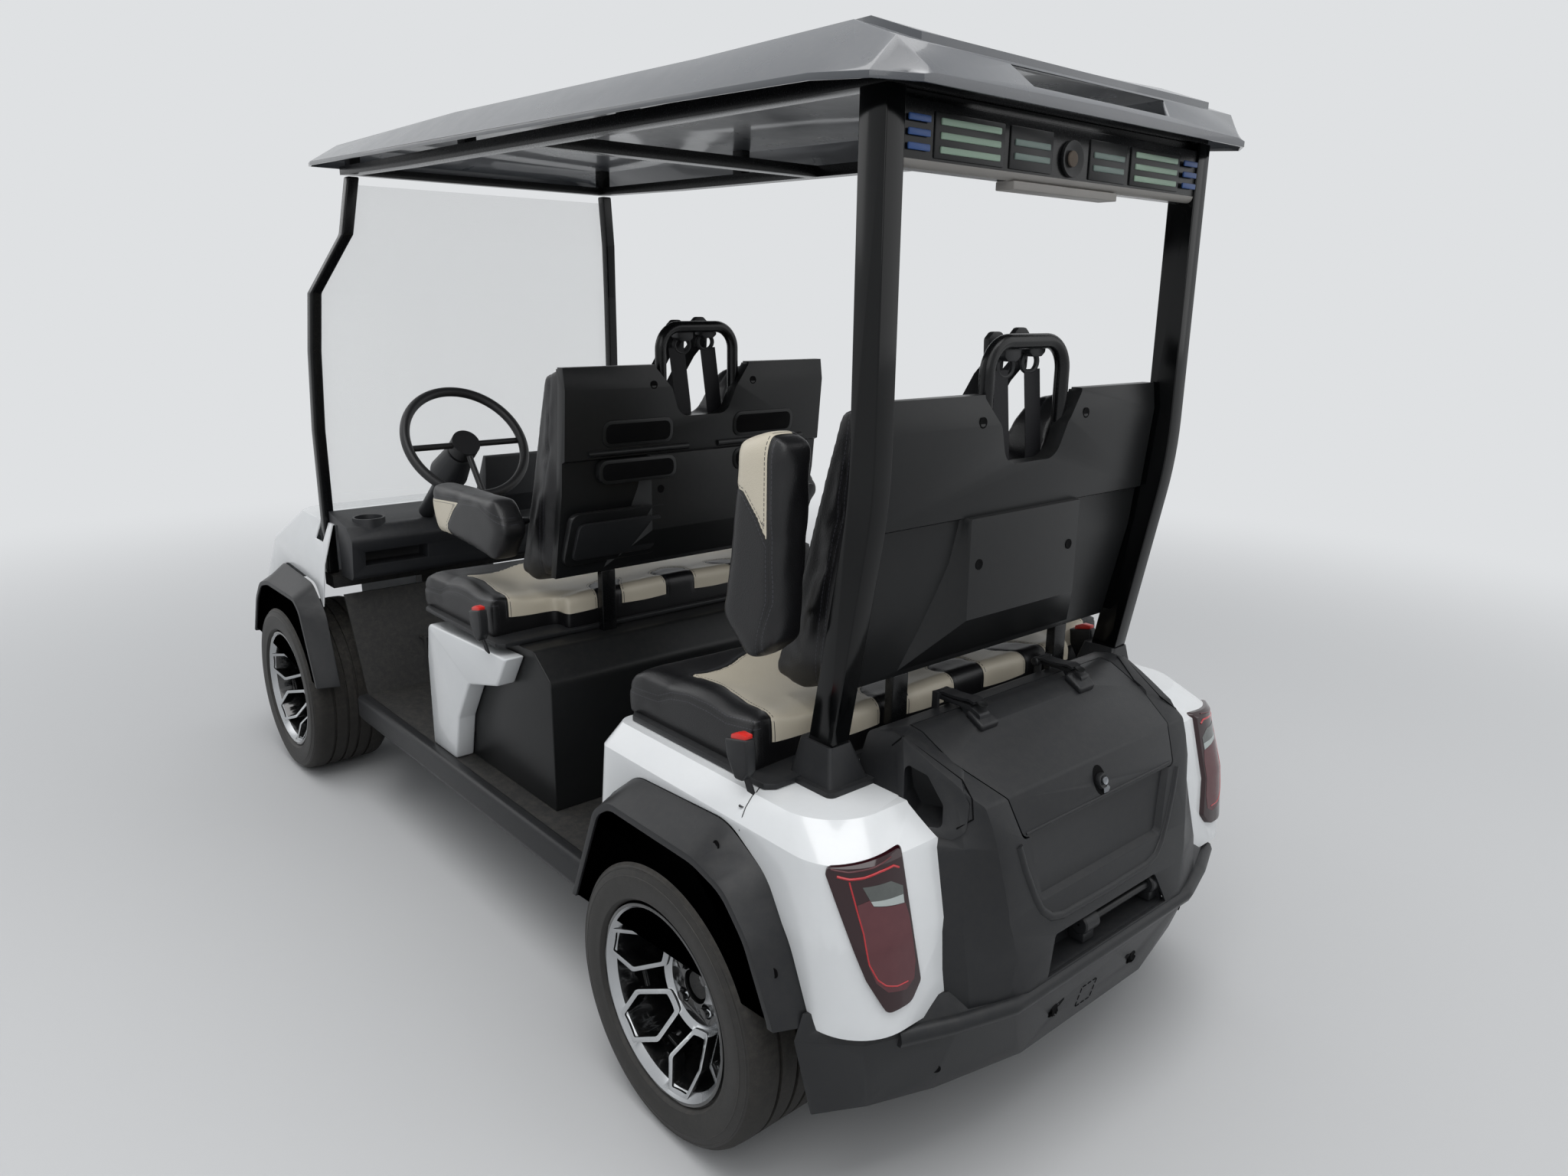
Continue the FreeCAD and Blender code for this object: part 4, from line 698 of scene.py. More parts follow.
@dataclass
class Cart:
    """What every sub-assembly works on: the loaded frame."""

    nodes: dict[str, Piece]
    slots: dict[str, str]
    # how far before a point the search for a surface begins, spacing of a traced line, thickness of a plate
    search: float = 0.3
    step: float = 0.008
    plate: float = 0.0012
    surfaces: dict[str, BVHTree] = field(default_factory=dict)

    def surface(self, node: str) -> BVHTree:
        """Search tree of a node's own faces."""
        if node not in self.surfaces:
            mesh = self.nodes[node].data
            self.surfaces[node] = BVHTree.FromPolygons(
                [vertex.co for vertex in mesh.vertices], [tuple(face.vertices) for face in mesh.polygons])
        return self.surfaces[node]

    def land(self, node: str, point: Point, way: Vector, lift: float) -> Vector | None:
        """Point above a node's surface where a line through point along way meets it.

        Args:
            node: Name of the CAD node.
            point: Any point on the line.
            way: Direction in which the line runs into the surface.
            lift: Distance to stay clear of the surface.

        Returns:
            The lifted point, or None when the line misses.
        """
        place = self.surface(node).ray_cast(Vector(point) - way * self.search, way)[0]
        if place is None:
            log.warning("a line at %s misses %s", tuple(round(c, 3) for c in point), node)
            return None
        return place - way * lift

    def trace(self, name: str, node: str, path: Sequence[Point], way: Vector, radius: float,
              lift: float = 0.0) -> Piece:
        """Thin round line that follows a node's surface under a path."""
        run = [Vector(point) for point in path]
        direction = way.normalized()
        points = []
        for first, second in zip(run, run[1:]):
            count = max(1, round((second - first).length / self.step))
            points += [first.lerp(second, i / count) for i in range(count)]
        landed = [self.land(node, point, direction, lift) for point in points + run[-1:]]
        return bar(name, [point for point in landed if point is not None], radius)

    def patch(self, name: str, node: str, outline: Sequence[Point], way: Vector, lift: float,
              cuts: int) -> Piece:
        """Thin plate of a given outline that follows a node's surface.

        Args:
            name: Name of the new object.
            node: Name of the CAD node.
            outline: Corners of the plate, before they land.
            way: Direction into the surface.
            lift: Distance of the plate's face from the surface.
            cuts: How often each edge is divided.

        Returns:
            The new plate.
        """
        obj = chain(name, outline, closed=True)

        def fill() -> None:
            """Fills the outline with small triangles."""
            bpy.ops.mesh.edge_face_add()
            bpy.ops.mesh.quads_convert_to_tris(ngon_method="BEAUTY")
            bpy.ops.mesh.subdivide(number_cuts=cuts)

        edit(obj, fill)
        direction = way.normalized()
        # a corner that misses the surface moves as far as the one before it
        reach = self.search
        for vertex in obj.data.vertices:
            landed = self.land(node, vertex.co, direction, lift)
            if landed is not None:
                reach = (landed - vertex.co).dot(direction)
            vertex.co += direction * reach
        edit(obj, face_outwards)
        if obj.data.polygons[0].normal.dot(direction) > 0.0:
            obj.data.flip_normals()
        apply_modifier(obj, "SOLIDIFY", thickness=self.plate, offset=-1.0)
        smooth(obj, 40.0)
        return obj

    def both(self, piece: Piece, slot: str) -> None:
        """Places a left piece of the chassis and its mirror copy on the right."""
        name = piece.name
        piece.name = name + "_left"
        other = twin(piece, name + "_right", mirror=True)
        self.place(piece, slot)
        self.place(other, slot)

    def body_of(self, node: str) -> str:
        """Name of the body that a CAD node rides on."""
        return self.nodes[node]["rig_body"]

    def copy_node(self, node: str, name: str) -> Piece:
        """Merged copy of a CAD node's mesh as a new piece.

        Args:
            node: Name of the CAD node.
            name: Name of the new object.

        Returns:
            The new object, linked to the scene, with clean faces.
        """
        mesh = self.nodes[node].data.copy()
        mesh.materials.clear()
        obj = new_object(name, mesh)

        def clean() -> None:
            """Merges the loose triangles and joins flat neighbours."""
            bpy.ops.mesh.remove_doubles(threshold=0.00002)
            bpy.ops.mesh.dissolve_limited(angle_limit=math.radians(0.6), delimit=set())

        edit(obj, clean)
        return obj

    def place(self, obj: Piece, slot: str, *replaced: str, body: str = "chassis") -> None:
        """Lets a finished piece ride on a body and hides the nodes it stands for."""
        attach(obj, body)
        if replaced:
            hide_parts(*replaced)
        log.info("piece %s on %s: %d faces", obj.name, body, len(obj.data.polygons))


def outline_distance(x: float, y: float, outline: Sequence[Flat]) -> Flat:
    """Signed distance of a point from a closed outline, and how far round its nearest point lies.

    Args:
        x: First coordinate of the point.
        y: Second coordinate of the point.
        outline: Corners of the outline.

    Returns:
        The distance, positive inside, and the length along the outline to the nearest point.
    """
    best, along, travelled, inside = 1e9, 0.0, 0.0, False
    count = len(outline)
    for i in range(count):
        ax, ay = outline[i]
        bx, by = outline[(i + 1) % count]
        dx, dy = bx - ax, by - ay
        length_squared = dx * dx + dy * dy
        share = max(0.0, min(1.0, ((x - ax) * dx + (y - ay) * dy) / length_squared))
        gap = math.hypot(x - ax - dx * share, y - ay - dy * share)
        length = math.sqrt(length_squared)
        if gap < best:
            best, along = gap, travelled + length * share
        if (ay > y) != (by > y) and x < ax + (y - ay) / (by - ay) * dx:
            inside = not inside
        travelled += length
    return (best if inside else -best), along


def rounded(outline: Sequence[Flat]) -> list[Flat]:
    """Cuts the corners of a closed outline twice, so it runs in smoother curves.

    Args:
        outline: Corners of the outline.

    Returns:
        Corners of the rounder outline.
    """
    points = list(outline)
    for _ in range(2):
        cut = []
        for i, (ax, ay) in enumerate(points):
            bx, by = points[(i + 1) % len(points)]
            cut.append((ax * 0.75 + bx * 0.25, ay * 0.75 + by * 0.25))
            cut.append((ax * 0.25 + bx * 0.75, ay * 0.25 + by * 0.75))
        points = cut
    return points


# What each point of a padded piece knows: its distances to two sewn lines, and the way along them
SEAM_LAYERS = ("panel", "welt", "along")


@dataclass(frozen=True)
class Vinyl(Coating):
    """Two-tone seat vinyl: cream panels let into black, with sewn seams and twin stitching."""

    black: str = "0f0f11"
    cream: str = "ddd5c3"
    black_tint: str = "151517"
    cream_tint: str = "d2c9b5"
    seam_colour: str = "08080a"
    thread_colour: str = "34343a"
    seam_half: float = 0.0011
    stitch_set: float = 0.0065
    stitch_half: float = 0.0007
    stitch_pitch: float = 0.0085
    # hide grain of the emboss, drawn at 2.4 mm so that it shows
    grain_mm: float = 2.4
    relief: float = 0.00022

    def fill(self, material: bpy.types.Material) -> None:
        """Adds the vinyl's shader, which reads the piece's own panel, welt and along attributes.

        Args:
            material: The new material, with an empty node tree.
        """
        tree = material.node_tree
        shader = add_node(tree, "BsdfPrincipled", {}, {"Specular IOR Level": 0.42})
        add_node(tree, "OutputMaterial", {}, {"Surface": shader.outputs["BSDF"]})
        panel, welt, along = (add_node(tree, "Attribute", {"attribute_name": name}).outputs["Fac"]
                              for name in SEAM_LAYERS)
        coords = add_node(tree, "TexCoord").outputs["Object"]
        inside = add_node(tree, "Math", {"operation": "GREATER_THAN"}, {0: panel, 1: 0.0})
        clouds = add_node(tree, "TexNoise", {}, {"Vector": coords, "Scale": 9.0, "Detail": 3.0})
        cream = add_node(tree, "Mix", {"data_type": "RGBA"}, {
            "Factor": clouds.outputs["Fac"], 6: linear(self.cream), 7: linear(self.cream_tint)})
        black = add_node(tree, "Mix", {"data_type": "RGBA"}, {
            "Factor": clouds.outputs["Fac"], 6: linear(self.black), 7: linear(self.black_tint)})
        skin = add_node(tree, "Mix", {"data_type": "RGBA"}, {
            "Factor": inside.outputs[0], 6: black.outputs[2], 7: cream.outputs[2]})
        seam = self._line(tree, self._nearest(tree, panel, welt), 0.0, self.seam_half)
        stitches = self._stitches(tree, panel, welt, along)
        dark = add_node(tree, "Mix", {"data_type": "RGBA"}, {
            "Factor": seam, 6: skin.outputs[2], 7: linear(self.seam_colour)})
        sewn = add_node(tree, "Mix", {"data_type": "RGBA"}, {
            "Factor": stitches, 6: dark.outputs[2], 7: linear(self.thread_colour)})
        tree.links.new(sewn.outputs[2], shader.inputs["Base Color"])
        grain = add_node(tree, "TexVoronoi", {}, {
            "Vector": coords, "Scale": 1000.0 / self.grain_mm, "Randomness": 1.0})
        height = add_node(tree, "Math", {"operation": "MULTIPLY_ADD"}, {
            0: seam, 1: -6.0, 2: grain.outputs["Distance"]})
        proud = add_node(tree, "Math", {"operation": "ADD"}, {0: height.outputs[0], 1: stitches})
        bump = add_node(tree, "Bump", {}, {
            "Height": proud.outputs[0], "Distance": self.relief, "Strength": 1.0})
        tree.links.new(bump.outputs["Normal"], shader.inputs["Normal"])
        rough = add_node(tree, "MapRange", {}, {
            "Value": clouds.outputs["Fac"], "From Min": 0.3, "From Max": 0.7, "To Min": 0.34, "To Max": 0.42})
        tree.links.new(rough.outputs["Result"], shader.inputs["Roughness"])

    def _nearest(self, tree: Tree, first: Socket,
                 second: Socket) -> Socket:
        """Distance to the nearer of two sewn lines."""
        near = [add_node(tree, "Math", {"operation": "ABSOLUTE"}, {0: value})
                for value in (first, second)]
        return add_node(tree, "Math", {"operation": "MINIMUM"}, {
            0: near[0].outputs[0], 1: near[1].outputs[0]}).outputs[0]

    def _line(self, tree: Tree, distance: Socket, centre: float,
              half: float) -> Socket:
        """One where distance lies within half of centre, else nought."""
        return add_node(tree, "Math", {"operation": "COMPARE"}, {
            0: distance, 1: centre, 2: half}).outputs[0]

    def _stitches(self, tree: Tree, panel: Socket,
                  welt: Socket, along: Socket) -> Socket:
        """Dashes a little way off each seam, on its outer side."""
        row = self._line(tree, self._nearest(tree, panel, welt), self.stitch_set, self.stitch_half)
        phase = add_node(tree, "Math", {"operation": "FRACT"}, {
            0: add_node(tree, "Math", {"operation": "DIVIDE"}, {
                0: along, 1: self.stitch_pitch}).outputs[0]})
        dash = add_node(tree, "Math", {"operation": "LESS_THAN"}, {0: phase.outputs[0], 1: 0.68})
        return add_node(tree, "Math", {"operation": "MULTIPLY"}, {
            0: row, 1: dash.outputs[0]}).outputs[0]


@dataclass
class Assembly:
    """A sub-assembly, which works on the loaded frame."""

    cart: Cart


@dataclass
class Upholstery:
    """How a padded piece is made: remeshed, inflated as cloth, then marked with its seams."""

    voxel: float = 0.007
    shrink: float = 0.003
    pressure: float = 4.0
    frames: int = 20
    cap: float = 0.01
    rounding_passes: int = 12
    settling_passes: int = 9

    def plump(self, obj: Piece) -> None:
        """Remeshes, rounds and inflates obj, with the swelling capped.

        Args:
            obj: The mesh object.
        """
        apply_modifier(obj, "REMESH", mode="VOXEL", voxel_size=self.voxel)
        apply_modifier(obj, "SMOOTH", factor=0.5, iterations=self.rounding_passes)
        apply_modifier(obj, "DISPLACE", strength=-self.shrink, mid_level=0.0)
        start = [v.co.copy() for v in obj.data.vertices]
        self._inflate(obj)
        for vertex, before in zip(obj.data.vertices, start):
            move = vertex.co - before
            if move.length > self.cap:
                vertex.co = before + move.normalized() * self.cap
        apply_modifier(obj, "SMOOTH", factor=0.5, iterations=self.settling_passes)
        pick(obj)
        bpy.ops.object.shade_smooth()

    def _inflate(self, obj: Piece) -> None:
        """Runs the cloth with pressure inside and no gravity, and applies it.

        Args:
            obj: The mesh object.
        """
        pick(obj)
        cloth = obj.modifiers.new("cloth", "CLOTH")
        cloth.settings.use_pressure = True
        cloth.settings.uniform_pressure_force = self.pressure
        cloth.settings.effector_weights.gravity = 0.0
        cloth.settings.quality = 4
        cloth.point_cache.frame_end = self.frames
        for step in range(1, self.frames + 1):
            bpy.context.scene.frame_set(step)
        bpy.ops.object.modifier_apply(modifier=cloth.name)
        bpy.context.scene.frame_set(1)

    def mark(self, obj: Piece, marks: Callable[[Vector], Point]) -> None:
        """Writes each vertex's distance to the cream panel's seam and to the welt, and the way along.

        Args:
            obj: The padded piece.
            marks: Function from a point to panel distance, welt distance and length along.
        """
        mesh = obj.data
        layers = [mesh.attributes.new(name, "FLOAT", "POINT") for name in SEAM_LAYERS]
        values = [marks(vertex.co) for vertex in mesh.vertices]
        for index, layer in enumerate(layers):
            layer.data.foreach_set("value", [value[index] for value in values])

    def sink_seams(self, obj: Piece, depth: float = 0.0028, reach: float = 0.01) -> None:
        """Pulls the surface in along its marked seams."""
        mesh = obj.data
        normals = [vertex.normal.copy() for vertex in mesh.vertices]
        panel, welt = mesh.attributes["panel"].data, mesh.attributes["welt"].data
        for index, vertex in enumerate(mesh.vertices):
            near = min(abs(panel[index].value), abs(welt[index].value))
            if near < reach:
                vertex.co -= normals[index] * depth * (1.0 - near / reach) ** 2


@dataclass
class Benches(Assembly):
    """Padding of both benches: seat cushions, back cushions and the bolsters that are the arm rests."""

    seat_z: float = 0.735
    side_y: float = 0.505
    # what lies behind this x, from the rear axle, is of the rear bench
    bench_split: float = 0.6
    # heights over seat_z from which a cushion's top has its panel, and from which it rises
    top_over: Flat = (0.05, 0.045)
    # share of its space that a pad's foam fills
    cushion_fill: float = 0.8
    bolster_fill: float = 0.9
    # place of the arm rests' pivot: x from the rear axle and z
    pivot: Flat = (-0.07, 1.02)
    lowered_turn: float = 94.0
    upholstery: Upholstery = field(default_factory=Upholstery)
    vinyl: Vinyl = field(default_factory=lambda: Vinyl("two_tone_seat_vinyl"))
    # cream panel of a cushion: x from the rear axle and y, one half, front to rear
    cushion_panel: Outline = (
        (0.262, 0.085), (0.215, 0.3), (0.178, 0.36), (0.165, 0.425), (0.17, 0.478), (0.112, 0.462),
        (0.033, 0.472), (-0.09, 0.484), (-0.215, 0.492), (-0.215, 0.26), (-0.13, 0.262), (-0.055, 0.236),
        (-0.055, 0.128), (-0.13, 0.19), (-0.215, 0.19), (-0.215, 0.046), (-0.13, 0.046), (-0.06, 0.06),
        (-0.06, -0.2), (0.262, -0.2))
    # welt on a cushion's side: x and z
    cushion_welt: Outline = (
        (0.4, 0.79), (0.295, 0.796), (0.191, 0.8), (0.151, 0.818), (0.095, 0.828), (0.035, 0.828),
        (-0.023, 0.822), (-0.089, 0.832), (-0.141, 0.83), (-0.187, 0.815), (-0.4, 0.815))
    # cream panel of a backrest, one half: y and z
    back_panel: Outline = (
        (0.33, 0.9), (0.345, 1.1), (0.33, 1.3), (0.3, 1.345), (0.15, 1.345), (0.13, 1.24), (0.1, 1.22),
        (-0.2, 1.22), (-0.2, 0.9))
    # x from the rear axle at one height, that height, and how far it moves ahead per metre down:
    # front face and welt of a backrest, and the band of a bolster
    back_face: Point = (-0.15, 1.4, 0.02)
    back_welt: Point = (-0.182, 1.385, 0.12)
    band: Point = (-0.121, 1.06, 0.35)
    # a backrest's panel and welt end at these y, and its welt runs over the top from this height
    back_half: Flat = (0.37, 0.34)
    back_top: float = 1.34
    # y of a bolster's outer face, from which its panel and its band show
    outer_ys: Flat = (0.458, 0.455)
    # distance given to a point that no seam passes
    far: float = 0.1
    # cream panel of a side bolster: x and z
    bolster_panel: Outline = (
        (0.02, 1.262), (0.02, 1.4), (-0.117, 1.4), (-0.117, 1.165), (-0.092, 1.203), (-0.055, 1.243))

    def build(self) -> None:
        """Makes the soft pieces of the rear bench and repeats them at the front."""
        self.cushions()
        self.backrests()
        self.bolsters()

    def is_rear(self, point: Vector) -> bool:
        """True for a point of the rear bench."""
        return point.x < X_REAR + self.bench_split

    def half_of(self, node: str, name: str, keep: Callable[[Vector], bool]) -> Piece:
        """Copy of the part of a node whose vertices satisfy keep."""
        obj = self.cart.copy_node(node, name)
        edit(obj, lambda: bpy.ops.mesh.delete(type="FACE"), lambda centre, normal: not keep(centre))
        return obj

    def cushions(self) -> None:
        """Seat cushions with raised side lobes, a cream top and a welt round the side."""
        seat = self.half_of("seat_cushions", "rear_seat_cushion", self.is_rear)
        self.upholstery.plump(seat)
        for vertex in seat.data.vertices:
            vertex.co.z += self.cushion_rise(vertex.co)
        half = rounded(self.cushion_panel)

        def marks(point: Vector) -> Point:
            """Panel on the top, welt round the side."""
            x, y = point.x - X_REAR, abs(point.y)
            if point.z > self.seat_z + self.top_over[0]:
                panel, along = outline_distance(x, y, half)
            else:
                panel, along = -self.far, 0.0
            side = point.z - self.height_on(self.cushion_welt, x) if y > self.side_y else self.far
            return panel, side, along if abs(panel) < abs(side) else x

        self.sew(seat, marks, "seat_cushions")

    def height_on(self, line: Sequence[Flat], x: float) -> float:
        """Height of a polyline that runs from high to low x."""
        for (x0, z0), (x1, z1) in zip(line, line[1:]):
            if x1 <= x <= x0:
                return z1 + (z0 - z1) * (x - x1) / (x0 - x1)
        return line[-1][1]

    def x_on(self, line: Point, z: float) -> float:
        """The x from the rear axle of a leaning line at a height."""
        return line[0] + (line[1] - z) * line[2]

    def cushion_rise(self, point: Vector) -> float:
        """How much the top of a cushion rises over its side lobes and front roll.

        Args:
            point: Point in the frame.

        Returns:
            The rise.
        """
        if point.z < self.seat_z + self.top_over[1]:
            return 0.0
        x, y = point.x - X_REAR, abs(point.y)
        high = min(1.0, (point.z - self.seat_z - self.top_over[1]) / 0.04)
        # a roll along the side, two waves on it, and a dish where one sits
        lobe = math.exp(-((y - 0.5) / 0.055) ** 2)
        wave = 0.014 * math.exp(-((x - 0.07) / 0.075) ** 2) + 0.016 * math.exp(-((x + 0.12) / 0.07) ** 2)
        dish = 0.01 * math.exp(-((y - 0.25) / 0.17) ** 2) * math.exp(-((x - 0.02) / 0.16) ** 2)
        return high * (lobe * wave + 0.004 * lobe - dish)

    def backrests(self) -> None:
        """Back cushions between shell and sitter, cream in front with black sides."""
        back = self.half_of("seat_backs", "rear_back_cushion", self.is_rear)
        self.upholstery.plump(back)
        panel_outline = rounded(self.back_panel)

        def marks(point: Vector) -> Point:
            """Cream front panel, welt near the rear edge of the side."""
            x, y, z = point.x - X_REAR, abs(point.y), point.z
            panel, along = -self.far, z
            if x > self.x_on(self.back_face, z) and y < self.back_half[0]:
                panel, along = outline_distance(y, z, panel_outline)
            welt = x - self.x_on(self.back_welt, z)
            sewn = y > self.back_half[1] or z > self.back_top
            return panel, welt if sewn else self.far, along if abs(panel) < abs(welt) else z

        self.sew(back, marks, "seat_backs")

    def sew(self, pad: Piece, marks: Callable[[Vector], Point], node: str) -> None:
        """Sews a pad of the rear bench, which stands for a node, and repeats it on the front bench."""
        self.upholstery.mark(pad, marks)
        self.upholstery.sink_seams(pad)
        dress(pad, self.vinyl)
        front = twin(pad, pad.name.replace("rear", "front"), TO_FRONT)
        self.cart.place(pad, "cream_vinyl", node)
        self.cart.place(front, "cream_vinyl")

    def bolsters(self) -> None:
        """Side bolsters with a cream patch on the upper outer face and a piped rear band."""
        pad = self.half_of("arm_pads", "bolster_rear_left", lambda p: self.is_rear(p) and p.y > 0.0)
        Upholstery(voxel=0.006, cap=0.006, rounding_passes=26, settling_passes=24).plump(pad)
        patch = self.bolster_panel

        def marks(point: Vector) -> Point:
            """Cream patch on the outer and front face, and the seams of the rear band."""
            x, z = point.x - X_REAR, point.z
            distance, along = outline_distance(x, z, patch)
            if point.y < self.outer_ys[0]:
                distance = -self.far
            band = x - self.x_on(self.band, min(z, self.band[1]))
            outer = point.y > self.outer_ys[1]
            return distance, band if outer else self.far, along if abs(distance) < abs(band) else z

        self.upholstery.mark(pad, marks)
        self.upholstery.sink_seams(pad, 0.002, 0.007)
        dress(pad, self.vinyl)
        self.cart.place(pad, "arm_vinyl", "arm_pads")
        self.lower(pad)

    def lower(self, pad: Piece) -> None:
        """Repeats a raised arm rest on the right, and lowered on both sides of the front bench.

        Args:
            pad: The rear left arm rest.
        """
        hinge = Vector(at(self.pivot[0], 0.0, self.pivot[1]))
        turn = (Matrix.Translation(hinge) @ Matrix.Rotation(math.radians(self.lowered_turn), 4, "Y")
                @ Matrix.Translation(-hinge))
        for name, lowered, mirror in (
                ("bolster_rear_right", False, True),
                ("bolster_front_left", True, False),
                ("bolster_front_right", True, True)):
            other = twin(pad, name, mirror=mirror)
            if lowered:
                other.data.transform(Matrix.Translation(TO_FRONT) @ turn)
            self.cart.place(other, "arm_vinyl")


@dataclass
class Belts(Assembly):
    """Belts with their ring guides in the hoops, and buckles on stalks."""

    # middles of the ring guides: y and z
    guides: Outline = ((0.03, 1.45), (-0.043, 1.457))
    plane_x: float = -0.215
    belt_width: float = 0.047
    ring_radius: float = 0.019
    ring_stretch: float = 1.22
    # y at the head and at the foot of the hanging belts, and of their runs in front
    hanging: Outline = ((0.048, 0.03), (-0.049, -0.068))
    crossing: Outline = ((0.036, 0.118), (-0.04, 0.045))
    # clamp of a guide and the strap loop over it: y and z from the guide's middle
    clamp: Outline = (
        (-0.024, 0.038), (-0.024, 0.014), (-0.013, 0.006), (0.013, 0.006), (0.024, 0.014), (0.024, 0.038))
    hood: Outline = (
        (-0.026, 0.046), (-0.022, -0.02), (0.022, -0.02), (0.026, 0.046), (0.012, 0.058), (-0.012, 0.058))
    # buckle and button from the side: x from the rear axle and z; then y of both flanks of the buckle
    case: Outline = (
        (-0.116, 0.756), (-0.136, 0.757), (-0.15, 0.776), (-0.15, 0.812), (-0.146, 0.837),
        (-0.088, 0.824), (-0.094, 0.792))
    key: Outline = (
        (-0.143, 0.834), (-0.143, 0.843), (-0.122, 0.843), (-0.103, 0.835), (-0.102, 0.826))
    flanks: Flat = (0.563, 0.586)
    # how far the button is in from each flank
    key_inset: float = 0.003
    # middle line of the stalk, from the deck up: x from the rear axle, y and z
    stalk: tuple[Point, ...] = ((-0.141, 0.566, 0.728), (-0.138, 0.57, 0.748), (-0.13, 0.574, 0.768))

    def build(self) -> None:
        """Makes the rear belts and buckles, and repeats them at the front."""
        pieces = [self.straps(), self.rings()]
        for piece in pieces:
            other = twin(piece, piece.name.replace("rear", "front"), TO_FRONT)
            self.cart.place(piece, "black_metal")
            self.cart.place(other, "black_metal")
        body, key, stalk = self.buckle()
        for piece, mark in ((body, "body"), (key, "button"), (stalk, "stalk")):
            for name, shift, mirror in (("rear_right", (0.0, 0.13, 0.0), True),
                                        ("front_left", TO_FRONT, False)):
                copy = twin(piece, f"buckle_{mark}_{name}", shift, mirror)
                self.cart.place(copy, "black_metal")
            self.cart.place(piece, "black_metal")

    def straps(self) -> Piece:
        """Webbing that hangs from the guides behind the backrest, and the runs that cross in front.

        Returns:
            The rear straps.
        """
        x = self.plane_x
        made = []
        for index, (top_y, low_y) in enumerate(self.hanging):
            path = [at(x, top_y, 1.44), at(x, (top_y + low_y) / 2, 1.37), at(x, low_y, 1.3),
                    at(x - 0.002, low_y - 0.001, 1.262), at(x - 0.006, low_y - 0.002, 1.236)]
            made.append(webbing(f"belt_{index}", path, (0.0, 1.0, 0.0), self.belt_width))
        for index, (guide_y, low_y) in enumerate(self.crossing):
            path = [at(x + 0.018, guide_y, 1.462), at(x + 0.034, guide_y * 0.7 + low_y * 0.3, 1.425),
                    at(x + 0.044, guide_y * 0.35 + low_y * 0.65, 1.372), at(x + 0.048, low_y, 1.322)]
            made.append(webbing(f"belt_run_{index}", path, (0.0, 0.9, 0.45), self.belt_width * 0.8))
        return join("belts_rear", made)

    def rings(self) -> Piece:
        """Ring guides with their clamps under the hoop and a strap loop over it.

        Returns:
            The rear guides.
        """
        made = []
        for index, (y, z) in enumerate(self.guides):
            bpy.ops.object.select_all(action="DESELECT")
            bpy.ops.mesh.primitive_torus_add(
                major_segments=28, minor_segments=8, major_radius=self.ring_radius, minor_radius=0.0048,
                location=at(self.plane_x + 0.003, y, z - 0.004), rotation=(0.0, math.radians(90), 0.0))
            ring = bpy.context.object
            bpy.ops.object.transform_apply(location=True, rotation=True, scale=True)
            for vertex in ring.data.vertices:
                vertex.co.y = y + (vertex.co.y - y) * self.ring_stretch
            made.append(dress(ring, GRAINED_PP))
            for name, outline, behind, depth, edge in (
                    (f"clamp_{index}", self.clamp, -0.016, 0.03, 0.003),
                    (f"hood_{index}", self.hood, 0.022, 0.014, 0.004)):
                corners = [at(self.plane_x + behind, y + dy, z + dz) for dy, dz in outline]
                made.append(dress(soften(slab(name, corners, (depth, 0.0, 0.0)), edge), GRAINED_PP))
        return join("belt_guides_rear", made)

    def buckle(self) -> tuple[Piece, Piece, Piece]:
        """Buckle with its red button, on a stalk that comes out of the deck.

        Returns:
            Body, button and stalk of the rear left buckle.
        """
        low, high = self.flanks
        body = slab("buckle_body_rear_left", [at(x, low, z) for x, z in self.case], (0.0, high - low, 0.0))
        dress(soften(body, 0.0045, 3), GRAINED_PP)
        key = slab("buckle_button_rear_left", [at(x, low + self.key_inset, z) for x, z in self.key],
                   (0.0, high - low - 2 * self.key_inset, 0.0))
        dress(soften(key, 0.002), BUCKLE_RED)
        stalk = webbing("buckle_stalk_rear_left", [at(*point) for point in self.stalk], (1.0, 0.0, 0.2),
                        0.02, 0.004)
        return body, key, stalk


